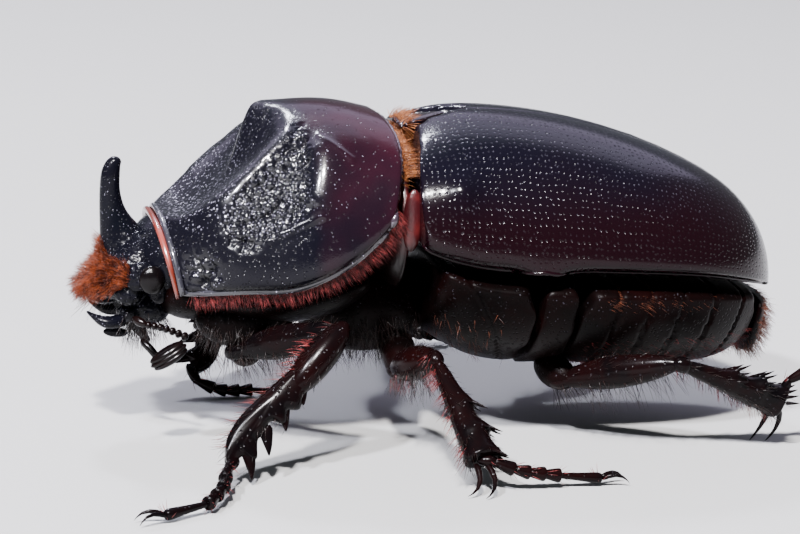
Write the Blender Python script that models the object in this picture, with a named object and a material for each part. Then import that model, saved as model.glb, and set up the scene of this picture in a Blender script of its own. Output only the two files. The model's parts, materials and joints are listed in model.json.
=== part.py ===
"""A rhinoceros beetle standing on a flat floor, life size, every shell plate its own solid.

The animal faces -X, its left side is toward -Y, and the floor it stands on is Z = 0.
All dimensions below are millimetres; MM turns them into metres.
Body points are measured from the base of the wing cases, where X is 0 and Y is the midline.
"""
import bpy
import bmesh
from math import cos, exp, pi, radians, sin
from mathutils import Vector

MM = 0.001
GAP = 0.3                 # clear space between neighbouring solids

# ---------------------------------------------------------------- driving dimensions
# Pronotum: the front margin, the crest and the hind margin, as (x, z) on the midline.
PRONOTUM_CREST = [(-13.55, 13.3), (-12.3, 15.8), (-10.6, 17.8), (-8.6, 19.2), (-6.0, 19.8),
                  (-3.0, 19.85), (-0.1, 19.2)]
# Its outer rim, front angle to hind corner, as (x, half width, z).
PRONOTUM_RIM = [(-12.5, 5.4, 9.2), (-11.3, 6.4, 9.3), (-9.2, 7.8, 9.6), (-6.4, 8.6, 9.8),
                (-3.9, 8.9, 10.9), (-2.0, 8.9, 12.4), (-0.9, 8.6, 13.9)]
HOLLOW_HALF_WIDTH = 5.8   # the scooped hollow at the front of the pronotum
HOLLOW_DEPTH = 1.0
HOLLOW_WALL = 1.3         # run of the steep wall behind it
TUBERCLE_REACH = 1.9      # how far the middle knob overhangs the wall
TUBERCLE_WIDTH = 1.5

# Wing cases: stations from the base to the tip, as (x, top z, margin z, half width).
ELYTRA = [(1.9, 18.9, 12.0, 8.9), (4.3, 19.5, 11.1, 9.3), (8.0, 19.4, 10.8, 9.7),
          (12.0, 18.8, 10.6, 9.8), (16.0, 17.7, 10.4, 9.4), (19.4, 16.3, 10.0, 8.3),
          (22.0, 14.8, 9.4, 6.6), (23.8, 12.9, 8.9, 4.5), (24.8, 10.9, 8.6, 2.4),
          (25.1, 9.2, 8.55, 0.6)]
SCUTELLUM_FRONT = 0.95
SCUTELLUM_LENGTH = 3.4
SCUTELLUM_HALF_WIDTH = 1.75

HORN_AXIS = [(-15.6, 11.75), (-15.75, 12.3), (-16.05, 13.3), (-16.2, 14.5), (-16.15, 15.5),
             (-15.95, 16.2)]
HORN_RADII = [(1.35, 1.05), (1.12, 0.9), (0.8, 0.72), (0.64, 0.62), (0.6, 0.58), (0.42, 0.42)]

EYE_CENTRE = (-14.1, 3.6, 9.75)
EYE_RADII = (0.85, 0.5, 0.95)

# Legs of the left side; the right side repeats them with its own pose.
TARSUS_RADIUS = 0.34
OPEN_KNEE = 0.45          # how far a knee folds before its pieces need more room
KNEE_SPREAD = 2.4
CLAW_RADIUS = 0.26
HOOK_BEND = 0.42          # radius of the bend that joins a pair of hooks
COLOURS = {
    "cuticle": ((0.016, 0.009, 0.011), 0.22),
    "wing_case": ((0.030, 0.010, 0.012), 0.20),
    "horn": ((0.010, 0.010, 0.014), 0.30),
    "eye": ((0.008, 0.007, 0.008), 0.08),
    "leg": ((0.022, 0.008, 0.008), 0.25),
    "underside": ((0.035, 0.010, 0.008), 0.35),
}


# ---------------------------------------------------------------- helpers
def curve(rows, t):
    """A smooth reading, at t from 0 to 1, of rows of numbers spaced evenly along it."""
    position = min(max(t, 0.0), 1.0) * (len(rows) - 1)
    index = min(int(position), len(rows) - 2)
    part = position - index
    before = rows[max(index - 1, 0)]
    start, end = rows[index], rows[index + 1]
    after = rows[min(index + 2, len(rows) - 1)]
    values = []
    for a, b, c, d in zip(before, start, end, after):
        leave, arrive = (c - a) / 2, (d - b) / 2
        values.append((2 * b - 2 * c + leave + arrive) * part ** 3
                      + (3 * c - 3 * b - 2 * leave - arrive) * part ** 2
                      + leave * part + b)
    return values


def smooth_step(low, high, value):
    part = min(max((value - low) / (high - low), 0.0), 1.0)
    return part * part * (3 - 2 * part)


def bump(value, centre, reach):
    """A round hill of height 1 at centre."""
    return exp(-((value - centre) / reach) ** 2)


def finish(name, finish_name):
    """The part's own material."""
    colour, roughness = COLOURS[finish_name]
    material = bpy.data.materials.new(name)
    material.use_nodes = True
    shader = material.node_tree.nodes["Principled BSDF"]
    shader.inputs["Base Color"].default_value = (*colour, 1)
    shader.inputs["Roughness"].default_value = roughness
    shader.inputs["Metallic"].default_value = 0.0
    return material


def loft(name, rings, finish_name, parent, origin=None):
    """A closed solid through rings of points; a ring of one point is a pole."""
    origin = Vector(origin) if origin else sum((Vector(p) for p in rings[0]), Vector()) / len(rings[0])
    shape = bmesh.new()
    loops = [[shape.verts.new((Vector(p) - origin) * MM) for p in ring] for ring in rings]
    for near, far in zip(loops, loops[1:]):
        count = max(len(near), len(far))
        for i in range(count):
            j = (i + 1) % count
            if len(near) == 1:
                shape.faces.new((near[0], far[j], far[i]))
            elif len(far) == 1:
                shape.faces.new((near[i], near[j], far[0]))
            else:
                shape.faces.new((near[i], near[j], far[j], far[i]))
    for ends in (loops[0], loops[-1]):
        if len(ends) > 2:
            shape.faces.new(ends)
    bmesh.ops.recalc_face_normals(shape, faces=shape.faces)
    mesh = bpy.data.meshes.new(name)
    shape.to_mesh(mesh)
    shape.free()
    mesh.shade_smooth()
    mesh.materials.append(finish(name, finish_name))
    piece = bpy.data.objects.new(name, mesh)
    piece.location = origin * MM
    piece.parent = parent
    bpy.context.collection.objects.link(piece)
    return piece


def dish(ring, depth):
    """The middle of a ring moved along X: the pole of a hollow or a domed end."""
    middle = sum((Vector(p) for p in ring), Vector()) / len(ring)
    return [middle + Vector((depth, 0, 0))]


def shrunk(ring, scale, step):
    """The ring drawn in toward its middle and moved along X."""
    middle = sum((Vector(p) for p in ring), Vector()) / len(ring)
    return [middle + (Vector(p) - middle) * scale + Vector((step, 0, 0)) for p in ring]


def oval(centre, across, along, ru, rv, count, power=2.0):
    """Points round an oval, or a squarer ring with a higher power."""
    points = []
    for k in range(count):
        angle = 2 * pi * (k + 0.5) / count
        u, v = cos(angle), sin(angle)
        u = abs(u) ** (2 / power) * (1 if u > 0 else -1)
        v = abs(v) ** (2 / power) * (1 if v > 0 else -1)
        points.append(centre + across * (ru * u) + along * (rv * v))
    return points


def tube(name, path, radii, sides, finish_name, parent, up=(0, 0, 1)):
    """A rod along a path; each row of radii is (height half, width half) at its point."""
    points = [Vector(p) for p in path]
    rings = []
    for i, point in enumerate(points):
        ahead = points[min(i + 1, len(points) - 1)] - points[max(i - 1, 0)]
        ahead.normalize()
        wide = ahead.cross(Vector(up)).normalized()
        high = wide.cross(ahead).normalized()
        rings.append(oval(point, high, wide, radii[i][0], radii[i][1], sides))
    return loft(name, rings, finish_name, parent, origin=points[0])


def rest_on_floor(piece):
    """Presses what dips below the floor into a small flat at floor level."""
    drop = piece.location.z
    for vertex in piece.data.vertices:
        vertex.co.z = max(vertex.co.z, -drop)


# ---------------------------------------------------------------- body
def pronotum_point(s, v):
    """A point of the upper shell: s runs front to back, v from rim to rim (-1 to 1)."""
    angle = v * pi / 2
    top_x, top_z = curve(PRONOTUM_CREST, s)
    rim_x, rim_y, rim_z = curve(PRONOTUM_RIM, s)
    y = rim_y * sin(angle)
    z = rim_z + (top_z - rim_z) * cos(angle)
    x = top_x + (rim_x - top_x) * (1 - cos(angle)) ** 1.3
    x += 0.55 * s ** 6 * sin(2 * abs(angle))
    away = abs(y)
    # the back wall of the hollow bows round the middle knob
    wall_x = -6.25 - 0.33 * max(away - 3.2, 0) ** 2.0 - TUBERCLE_REACH * bump(away, 0, TUBERCLE_WIDTH)
    ridge_z = 13.3 + 0.42 * (x + 13.8) + 0.062 * (x + 13.8) ** 2
    edge = min(away / HOLLOW_HALF_WIDTH, 1.15)
    depth = HOLLOW_DEPTH * smooth_step(-14.0, -11.5, x)
    floor_z = ridge_z - depth * (1 - edge ** 2)
    inside = 1 - smooth_step(wall_x - HOLLOW_WALL, wall_x, x)
    z -= max(z - floor_z, 0) * inside * (1 - smooth_step(5.9, 6.6, away))
    # the middle knob, the flattened facet outside the hollow and the swelling behind it
    z += 0.35 * bump(x, -7.6, 0.9) * bump(away, 0.55, 0.9)
    facet = 0.55 * bump(x, -7.4, 1.9) * bump(away, 6.9, 1.3)
    swell = 0.35 * bump(x, -3.9, 1.2) * bump(away, 6.2, 2.0)
    outward = Vector((0, sin(angle), cos(angle)))
    return Vector((x, y, z)) + outward * (swell - facet)


def make_pronotum(parent):
    stations, arcs, under = 21, 26, 4
    rings = []
    for i in range(stations + 1):
        s = i / stations
        arch = [pronotum_point(s, -1 + 2 * j / arcs) for j in range(arcs + 1)]
        first, last = arch[0], arch[-1]
        chord = []
        for j in range(1, under):
            point = last.lerp(first, j / under)
            chord.append(point + Vector((0, 0, 0.25 * sin(pi * j / under))))
        rings.append(arch + chord)
    front = dish(rings[0], 1.1)
    back = dish(rings[-1], -1.6)
    return loft("pronotum", [front] + rings + [back], "cuticle", parent, origin=(-7, 0, 9))


def trunk_ring(x, half_width, top, bottom, arcs, power=2.0, under=2):
    """A slice of the underside: a flat top and a rounded keel below it."""
    ring = []
    for j in range(arcs + 1):
        angle = pi * j / arcs
        c, s = cos(angle), sin(angle)
        y = half_width * (abs(c) ** (2 / power)) * (1 if c > 0 else -1)
        ring.append(Vector((x, y, top - (top - bottom) * s ** (2 / power))))
    for j in range(1, under + 1):
        ring.append(ring[arcs].lerp(ring[0], j / (under + 1)))
    return ring


def elytra_row(x):
    """Top, margin and half width of the wing cases at x."""
    low, high = 0.0, 1.0
    for _ in range(30):
        middle = (low + high) / 2
        if curve(ELYTRA, middle)[0] < x:
            low = middle
        else:
            high = middle
    return curve(ELYTRA, low)[1:]


def hind_body_ring(x, bottom):
    """A slice of the body under the wing cases, a little narrower than they are."""
    _, margin, half_width = elytra_row(x)
    return trunk_ring(x, half_width - 0.45, margin - GAP, bottom, 18)


def make_underside(parent):
    # prothorax underside
    rows = [(-12.2, 4.4, 8.8, 8.3), (-11.4, 5.0, 8.9, 7.6), (-9.4, 6.3, 9.1, 6.9),
            (-6.8, 7.3, 9.3, 6.6), (-4.3, 7.5, 9.8, 6.8), (-2.4, 7.2, 10.4, 7.5), (-1.5, 6.6, 10.6, 8.4)]
    rings = [trunk_ring(*curve(rows, i / 8), 12) for i in range(9)]
    loft("prosternum", rings, "underside", parent)
    # the neck between the pronotum and the wing cases
    rows = [(-0.9, 4.6, 16.8, 9.6), (-0.4, 6.0, 17.6, 8.6), (0.3, 6.5, 18.0, 8.2), (0.62, 6.3, 17.9, 8.2)]
    rings = []
    for i in range(5):
        x, half_width, top, bottom = curve(rows, i / 4)
        centre = Vector((x, 0, (top + bottom) / 2))
        rings.append(oval(centre, Vector((0, 1, 0)), Vector((0, 0, 1)), half_width,
                          (top - bottom) / 2, 18, 2.2))
    loft("mesothorax", rings, "underside", parent)

    keel = [(2.5, 6.0), (4.0, 5.0), (5.8, 4.1), (7.9, 3.8)]
    rings = [hind_body_ring(*curve(keel, i / 5)) for i in range(6)]
    loft("metathorax", [shrunk(rings[0], 0.9, -0.4)] + rings, "underside", parent)
    keel = [(10.6, 3.8), (13.5, 3.45), (17.0, 3.35), (20.0, 3.4), (21.9, 3.75), (23.0, 4.5)]
    rings = [hind_body_ring(*curve(keel, i / 10)) for i in range(11)]
    loft("abdomen", rings, "underside", parent)
    # last back plate, standing upright behind the abdomen
    rows = [(23.3, 4.7, 8.35, 4.6), (23.7, 4.5, 8.3, 4.0), (24.2, 3.7, 8.15, 3.7), (24.6, 2.5, 7.9, 4.3),
            (24.8, 1.0, 7.2, 5.3)]
    rings = [trunk_ring(*row, 14, 2.2) for row in rows]
    loft("pygidium", rings + [dish(rings[-1], 0.05)], "underside", parent)
    # hind coxae: broad plates that fill the slice between metathorax and abdomen
    for side, word in ((-1, "left"), (1, "right")):
        rings = []
        for x in (8.2, 8.9, 9.6, 10.3):
            ring = hind_body_ring(x, 3.7)
            half = [p for p in ring if p.y * side > 0.1]
            top, low = max(p.z for p in ring), min(p.z for p in ring)
            half.sort(key=lambda p: (p.z > top - 0.001, p.z if p.z < top - 0.001 else -abs(p.y)))
            rings.append([Vector((x, side * GAP / 2, low))] + half + [Vector((x, side * GAP / 2, top))])
        loft("hind_coxa_" + word, rings, "underside", parent)


def scutellum_half(x):
    """Half width of the small triangle between the bases of the wing cases."""
    return SCUTELLUM_HALF_WIDTH * (1 - (x - SCUTELLUM_FRONT) / SCUTELLUM_LENGTH)


def make_elytron(word, side, parent):
    stations, arcs = 18, 13
    rings = []
    for i in range(stations + 1):
        t = i / stations
        x, top, margin, half_width = curve(ELYTRA, t)
        inner = min(max(GAP / 2, scutellum_half(x) + GAP), half_width * 0.6)
        outer = []
        for j in range(arcs + 1):
            turn = j / arcs * pi / 2
            y = inner + (half_width - inner) * sin(turn)
            share = min(y / half_width, 1.0)
            z = margin + (top - margin) * (1 - share ** 2.2) ** (1 / 2.2)
            swell = 0.3 * bump(x, 3.0, 1.3) * bump(y, 8.0, 1.3)
            lead = -1.5 * sin(turn) ** 2 * (1 - 0.55 * sin(turn) ** 10) * max(0.0, 1 - (x - 1.9) / 5) ** 2
            outer.append(Vector((x + lead, side * (y + swell * sin(turn)), z + swell * cos(turn))))
        edge, seam = outer[-1], outer[0]
        closing = [Vector((edge.x, edge.y * 0.55, margin)), Vector((seam.x, seam.y, margin)),
                   Vector((seam.x, seam.y, (margin + seam.z) / 2))]
        rings.append(outer + closing)
    rings[0] = shrunk(rings[0], 0.985, 0)
    front = shrunk(rings[0], 0.93, -0.25)
    loft("elytron_" + word, [front] + rings, "wing_case", parent, origin=(1.4, 0, 12))


def make_scutellum(parent):
    rings = []
    for t in (0, 0.2, 0.45, 0.7, 0.88):
        x = SCUTELLUM_FRONT + t * SCUTELLUM_LENGTH
        half = scutellum_half(x)
        top = 18.8 + 0.5 * t
        ring = [Vector((x, half * k, top + 0.12 * (1 - k * k))) for k in (-1, -0.5, 0, 0.5, 1)]
        ring += [Vector((x, half, top - 0.6)), Vector((x, -half, top - 0.6))]
        rings.append(ring)
    loft("scutellum", rings, "cuticle", parent)


# ---------------------------------------------------------------- head
def make_head(parent):
    # x, top z, bottom z, half width
    rows = [(-12.95, 11.6, 9.6, 1.2), (-13.45, 12.35, 8.4, 2.5), (-14.1, 12.35, 7.9, 2.75),
            (-14.9, 12.0, 7.8, 3.0), (-15.8, 11.2, 7.9, 2.75), (-16.7, 10.3, 8.0, 2.2),
            (-17.4, 9.55, 8.1, 1.75), (-17.9, 8.95, 8.35, 1.45)]
    rings = []
    for i in range(15):
        x, top, bottom, half = curve(rows, i / 14)
        centre = Vector((x, 0, (top + bottom) / 2))
        rings.append(oval(centre, Vector((0, 1, 0)), Vector((0, 0, 1)), half, (top - bottom) / 2, 18, 2.3))
    loft("head", rings, "cuticle", parent)
    # the horn stands on the head, a gap above it
    rings = []
    for i in range(11):
        t = i / 10
        x, z = curve(HORN_AXIS, t)
        along, wide = curve(HORN_RADII, t)
        lean = Vector((1, 0, 0.62 * (1 - t) ** 2 - 0.35 * t)).normalized()
        rings.append(oval(Vector((x, 0, z)), lean, Vector((0, 1, 0)), along, wide, 12))
    loft("horn", rings, "horn", parent)
    for side, word in ((-1, "left"), (1, "right")):
        centre = Vector((EYE_CENTRE[0], side * EYE_CENTRE[1], EYE_CENTRE[2]))
        rings = []
        for k in range(1, 6):
            turn = pi * k / 6
            ring = oval(centre + Vector((0, -side * EYE_RADII[1] * cos(turn), 0)), Vector((1, 0, 0)),
                        Vector((0, 0, 1)), EYE_RADII[0] * sin(turn), EYE_RADII[2] * sin(turn), 10)
            rings.append(ring)
        near = [centre - Vector((0, side * EYE_RADII[1], 0))]
        far = [centre + Vector((0, side * EYE_RADII[1], 0))]
        loft("eye_" + word, [near] + rings + [far], "eye", parent, origin=centre)
        path = [(-15.45, side * 1.5, 6.95), (-16.1, side * 1.8, 6.8), (-16.8, side * 1.85, 6.85),
                (-17.35, side * 1.6, 7.05), (-17.7, side * 1.2, 7.3)]
        if side > 0:
            path = [(x + 0.4, y, z) for x, y, z in path]
        radii = [(0.42, 0.5), (0.45, 0.6), (0.4, 0.55), (0.32, 0.42), (0.25, 0.26)]
        tube("mandible_" + word, path, radii, 8, "horn", parent)
        path = [(-14.4, side * 1.3, 5.6), (-14.1, side * 1.7, 5.35), (-13.75, side * 2.0, 5.0),
                (-13.5, side * 2.2, 4.6)]
        radii = [(0.26, 0.26), (0.3, 0.3), (0.28, 0.28), (0.25, 0.25)]
        tube("palp_" + word, path, radii, 6, "leg", parent, up=(0, 1, 0))
        path = [(-14.9, side * 3.0, 7.2), (-14.4, side * 3.3, 7.0), (-14.0, side * 3.5, 6.9),
                (-13.5, side * 3.9, 6.85), (-13.1, side * 4.3, 6.75), (-12.7, side * 4.7, 6.7),
                (-12.3, side * 5.05, 6.65)]
        radii = [(0.3, 0.3), (0.38, 0.38), (0.27, 0.27), (0.34, 0.34), (0.28, 0.28), (0.34, 0.34),
                 (0.3, 0.3)]
        tube("antenna_" + word, path, radii, 6, "leg", parent)
        path = [(-12.35, side * 5.75, 6.35), (-12.7, side * 5.75, 6.2), (-13.3, side * 5.75, 5.85),
                (-13.9, side * 5.7, 5.45), (-14.3, side * 5.65, 5.15)]
        radii = [(0.28, 0.26), (0.5, 0.42), (0.6, 0.48), (0.5, 0.42), (0.25, 0.25)]
        tube("antenna_club_" + word, path, radii, 8, "cuticle", parent)
    rows = [(-12.9, 1.3, 7.4, 6.6), (-13.9, 1.7, 7.45, 6.0), (-14.7, 1.55, 7.3, 5.8), (-15.1, 0.9, 6.9, 6.1)]
    rings = [trunk_ring(*curve(rows, i / 4), 10) for i in range(5)]
    loft("mouthparts", rings, "leg", parent)


# ---------------------------------------------------------------- legs
def limb_axes(start, end, outer):
    axis = (end - start).normalized()
    out = (outer - axis * outer.dot(axis)).normalized()
    return axis, out, axis.cross(out)


def limb(name, start, end, outer, rows, sides, finish_name, parent, power=2.0):
    """A leg piece from start to end; rows are (share of length, outer, inner, half thickness)."""
    start, end = Vector(start), Vector(end)
    axis, out, side = limb_axes(start, end, Vector(outer))
    length = (end - start).length
    rings = []
    for share, outward, inward, thick in rows:
        centre = start + axis * (share * length) + out * ((outward - inward) / 2)
        rings.append(oval(centre, out, side, (outward + inward) / 2, thick, sides, power))
    return loft(name, rings, finish_name, parent, origin=start)


FEMUR_ROWS = [(0.0, 0.5, 0.5, 0.45), (0.1, 0.8, 0.7, 0.6), (0.3, 1.1, 1.05, 0.85),
              (0.55, 1.15, 1.1, 0.9), (0.8, 0.9, 0.85, 0.72), (0.94, 0.7, 0.6, 0.55), (1.0, 0.45, 0.35, 0.35)]
SHIN_ROWS = [(0.0, 0.4, 0.4, 0.4), (0.1, 0.6, 0.5, 0.5), (0.3, 0.7, 0.62, 0.6), (0.44, 1.25, 0.72, 0.78),
             (0.48, 0.85, 0.72, 0.7), (0.62, 0.9, 0.8, 0.72), (0.73, 1.6, 0.9, 0.95), (0.77, 1.0, 0.88, 0.8),
             (0.92, 1.15, 0.95, 0.9), (1.0, 1.5, 1.2, 1.05)]
# Outline of the digging fore shin: (share of length, offset), teeth on the outer edge.
DIGGER_OUTER = [(0.0, 0.4), (0.08, 0.7), (0.2, 0.8), (0.34, 0.72), (0.41, 0.65), (0.487, 1.2), (0.52, 0.42),
                (0.56, 0.6), (0.625, 1.08), (0.64, 0.1), (0.7, 0.12), (0.765, 0.4), (0.79, 0.12),
                (0.85, 0.5), (0.92, 1.1), (0.935, 0.0), (1.0, 0.12), (1.05, 0.15)]
DIGGER_INNER = [(1.05, -0.35), (1.0, -0.8), (0.93, -1.25), (0.77, -1.5), (0.5, -1.15), (0.28, -0.8), (0.0, -0.45)]


def digger_shin(name, start, end, outer, parent):
    """The fore shin: a toothed plate with a thick middle."""
    start, end = Vector(start), Vector(end)
    axis, out, side = limb_axes(start, end, Vector(outer))
    length = (end - start).length
    rings = []
    for level, narrow in ((-0.5, 0.45), (-0.22, 1.0), (0.22, 1.0), (0.5, 0.45)):
        ring = []
        for share, offset in DIGGER_OUTER + DIGGER_INNER:
            middle = -0.1 - 0.6 * smooth_step(0.3, 0.9, share)
            ring.append(start + axis * (share * length) + out * (middle + (offset - middle) * narrow)
                        + side * level * (0.8 + 0.55 * sin(pi * min(share * 1.1, 1.0))))
        rings.append(ring)
    return loft(name, rings, "leg", parent, origin=start)


def make_foot(name, points, parent):
    """Five beads in a row, the last one long."""
    beads = [(0.0, 0.8), (0.1, 1.0), (0.19, 1.25), (0.2, 0.8), (0.33, 1.2), (0.35, 0.8), (0.48, 1.15),
             (0.5, 0.8), (0.62, 1.15), (0.64, 0.75), (0.85, 0.9), (1.0, 1.15)]
    rows = [tuple(p) for p in points]
    path = [Vector(curve(rows, share)) for share, _ in beads]
    radii = [(TARSUS_RADIUS * r, TARSUS_RADIUS * r) for _, r in beads]
    piece = tube(name, path, radii, 6, "leg", parent)
    rest_on_floor(piece)
    return piece


def hook_pair(name, root, ahead, reach, spread, drop, parent, radius=CLAW_RADIUS):
    """Two hooks that part from one root: claws, or the spurs of a shin."""
    root, ahead = Vector(root), Vector(ahead).normalized()
    aside = ahead.cross(Vector((0, 0, 1))).normalized()
    down = aside.cross(ahead).normalized()
    if down.z > 0:
        down = -down
    # a round bend at the root, then two arms that part and droop
    path = []
    bend = HOOK_BEND
    arm = reach - bend
    for u in (1.0, 0.66, 0.33, 0.0):
        path.append(root + ahead * (bend + arm * u) - aside * (bend + (spread - bend) * u)
                    + down * (drop * u ** 1.6))
    for turn in (-60, -30, 0, 30, 60):
        angle = radians(turn)
        path.append(root + ahead * (bend * (1 - cos(angle))) + aside * (bend * sin(angle)))
    path += [point - aside * (2 * aside.dot(point - root)) for point in reversed(path[:4])]
    piece = tube(name, path, [(radius, radius)] * len(path), 5, "leg", parent, up=-down)
    rest_on_floor(piece)
    return piece


LEGS = {
    # hip, knee and ankle, the side the shin's teeth point to, the foot's path and its claws' heading
    "fore_left": ((-8.9, -4.7, 5.7), (-4.1, -9.5, 7.9), (-10.5, -12.6, 1.35), (0.77, -0.31, -0.56),
                  [(-11.1, -13.6, 1.3), (-11.8, -16.2, 0.85), (-13.1, -18.0, 0.5), (-15.3, -18.8, 0.42)],
                  (-1, -0.2, 0)),
    "fore_right": ((-7.8, 4.5, 5.7), (-6.5, 11.6, 8.4), (-10.3, 6.6, 1.75), (-1.0, 0.1, 0.3),
                   [(-9.9, 5.9, 1.05), (-8.5, 5.6, 0.42), (-6.4, 5.6, 0.45), (-5.2, 3.7, 0.7)],
                   (0.25, -1, -0.1)),
    "mid_left": ((0.4, -5.9, 4.7), (1.5, -9.5, 6.2), (2.9, -15.4, 1.75), (1, 0.1, 0.2),
                 [(3.5, -15.6, 1.75), (5.0, -15.8, 1.15), (7.7, -15.5, 0.7), (10.0, -15.4, 0.45)],
                 (1, 0.05, 0)),
    "mid_right": ((0.4, 5.9, 4.7), (2.0, 10.3, 6.3), (5.0, 15.6, 1.6), (1, 0, 0.3),
                  [(5.6, 16.1, 1.5), (7.1, 17.0, 1.0), (9.4, 17.8, 0.6), (11.6, 18.2, 0.45)],
                  (1, 0.1, 0)),
    "hind_left": ((10.7, -6.0, 3.75), (16.3, -10.2, 5.6), (23.0, -9.3, 2.75), (0.35, -0.3, 1),
                  [(23.5, -9.5, 4.2), (25.1, -9.9, 5.2), (27.5, -10.5, 4.2), (30.2, -10.9, 1.0)],
                  (0.8, -0.1, -0.5)),
    "hind_right": ((10.7, 6.0, 3.75), (16.3, 10.4, 5.5), (21.5, 14.6, 1.7), (0.3, -0.3, 1),
                   [(22.2, 15.1, 1.5), (24.0, 16.1, 1.0), (26.0, 16.9, 0.55), (28.2, 17.5, 0.45)],
                   (1, 0.2, 0)),
}
# Two long spurs on each middle and hind shin: root, heading and drop.
SPURS = {
    "mid_left": ((2.75, -15.9, 0.85), (-0.1, -0.9, -0.45), 0.5),
    "mid_right": ((4.9, 16.2, 1.0), (0.1, 0.9, -0.4), 0.3),
    "hind_left": ((22.7, -8.4, 1.55), (0.15, 0.6, -0.75), 0.55),
    "hind_right": ((21.9, 14.6, 0.75), (0.9, -0.1, -0.4), 0.4),
}


def make_leg(name, plan, parent):
    hip, knee, ankle, outer, foot, heading = plan
    hip, knee, ankle = Vector(hip), Vector(knee), Vector(ankle)
    side = -1 if "left" in name else 1
    thigh = (knee - hip).normalized()
    shin = (ankle - knee).normalized()
    # a knee folded tight holds its two pieces further apart
    fold = KNEE_SPREAD * max(0.0, -thigh.dot(shin) - OPEN_KNEE)
    femur_end = knee - thigh * (0.35 + fold)
    limb(name + "_femur", hip, femur_end, (0, 0, 1), FEMUR_ROWS, 8, "leg", parent)
    shin_start = knee + shin * (0.85 + fold)
    if name.startswith("fore"):
        digger_shin(name + "_tibia", shin_start, ankle, outer, parent)
        root = (-8.1, side * 2.5, 5.0)
        tip = hip - (hip - Vector(root)).normalized() * 0.75
        limb(name.replace("fore", "fore_coxa"), root, tip, (0, 0, 1),
             [(0, 0.6, 0.6, 0.7), (0.3, 1.0, 1.0, 1.0), (0.7, 0.95, 0.95, 0.95), (1, 0.5, 0.5, 0.5)],
             8, "underside", parent)
    else:
        piece = limb(name + "_tibia", shin_start, ankle, outer, SHIN_ROWS, 8, "leg", parent, 2.2)
        rest_on_floor(piece)
    if name.startswith("mid"):
        root = Vector((0.9, side * 2.1, 5.6))
        tip = hip - (hip - root).normalized() * 0.75
        limb(name.replace("mid", "mid_coxa"), root, tip, (0, 0, 1),
             [(0, 0.7, 0.7, 0.8), (0.3, 1.3, 1.2, 1.3), (0.7, 1.15, 1.1, 1.1), (1, 0.5, 0.5, 0.5)],
             8, "underside", parent)
    if name in SPURS:
        base, ahead, drop = SPURS[name]
        hook_pair(name + "_spurs", base, ahead, 1.6, 0.6, drop, parent, 0.25)
    make_foot(name + "_tarsus", foot, parent)
    tip = Vector(foot[-1])
    heading = Vector(heading).normalized()
    hook_pair(name + "_claws", tip + heading * 0.75, heading, 0.95, 0.5, 0.3, parent)


def centre_on_floor(root):
    """Moves the animal so that its box is centred on the origin and stands on the floor."""
    bpy.context.view_layer.update()
    corners = [piece.matrix_world @ Vector(vertex.co) for piece in root.children
               for vertex in piece.data.vertices]
    low = Vector(min(c[i] for c in corners) for i in range(3))
    high = Vector(max(c[i] for c in corners) for i in range(3))
    root.location = Vector((-(low.x + high.x) / 2, -(low.y + high.y) / 2, -low.z))


def main():
    for piece in list(bpy.data.objects):
        bpy.data.objects.remove(piece)
    root = bpy.data.objects.new("beetle", None)
    bpy.context.collection.objects.link(root)
    make_pronotum(root)
    make_underside(root)
    make_elytron("left", -1, root)
    make_elytron("right", 1, root)
    make_scutellum(root)
    make_head(root)
    for name, plan in LEGS.items():
        make_leg(name, plan, root)
    centre_on_floor(root)


main()
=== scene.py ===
# %% [markdown]
# # A rhinoceros beetle, life size
#
# This notebook dresses a museum model of a horned beetle. The plain solids of its body are
# loaded first, as a frame that never moves. Each cell then makes one piece of the animal:
# its shell plates, its horn and jaws, its feelers, its legs, and last its hair.
#
# A beetle's hard skin is called the cuticle. Here it is nearly black, polished, and pitted
# with fine dots, so most of what the eye sees is reflection. That is why the surface matters
# more than the colour, and why the small relief is modelled and not only painted.

# %% Load the frame and set up the measures
import json
import random
from math import atan2, cos, exp, pi, radians, sin

import bpy
from mathutils import Matrix, Vector, noise

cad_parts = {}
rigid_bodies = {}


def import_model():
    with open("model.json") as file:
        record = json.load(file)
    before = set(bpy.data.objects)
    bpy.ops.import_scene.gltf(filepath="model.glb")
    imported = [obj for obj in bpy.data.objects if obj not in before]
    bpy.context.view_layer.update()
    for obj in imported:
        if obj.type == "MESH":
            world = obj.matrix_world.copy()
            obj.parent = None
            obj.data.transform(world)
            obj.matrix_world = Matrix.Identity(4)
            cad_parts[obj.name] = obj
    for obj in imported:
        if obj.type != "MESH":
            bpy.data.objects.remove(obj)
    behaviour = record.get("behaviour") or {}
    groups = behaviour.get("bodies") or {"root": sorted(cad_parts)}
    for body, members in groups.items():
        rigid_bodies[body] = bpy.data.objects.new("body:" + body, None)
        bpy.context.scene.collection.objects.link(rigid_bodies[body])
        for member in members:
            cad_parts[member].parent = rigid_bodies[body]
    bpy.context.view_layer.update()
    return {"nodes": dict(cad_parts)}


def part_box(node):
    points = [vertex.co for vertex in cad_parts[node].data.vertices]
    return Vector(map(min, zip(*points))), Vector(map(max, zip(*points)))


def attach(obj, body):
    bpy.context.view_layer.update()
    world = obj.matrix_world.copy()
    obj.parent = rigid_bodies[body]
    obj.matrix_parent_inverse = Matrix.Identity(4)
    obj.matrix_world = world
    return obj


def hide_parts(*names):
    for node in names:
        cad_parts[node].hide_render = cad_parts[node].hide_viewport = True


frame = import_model()
MM = 0.001
MM_PER_METRE = 1000
SHIELD_GAP = 0.95    # millimetres from the wing cases' base back to the small shield's front
SIDES = (("left", -1), ("right", 1))
low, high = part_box("scutellum")
# Body places are given in millimetres from the base of the wing cases, on the midline.
ORIGIN = Vector((low.x - SHIELD_GAP * MM, (low.y + high.y) / 2, 0))


def at(x, y, z):
    """A place on the animal, from millimetres to the frame's metres."""
    return Vector((x, y, z)) * MM + ORIGIN


print("solids in the frame:", len(frame["nodes"]), "origin of the measures:", tuple(ORIGIN))

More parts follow.
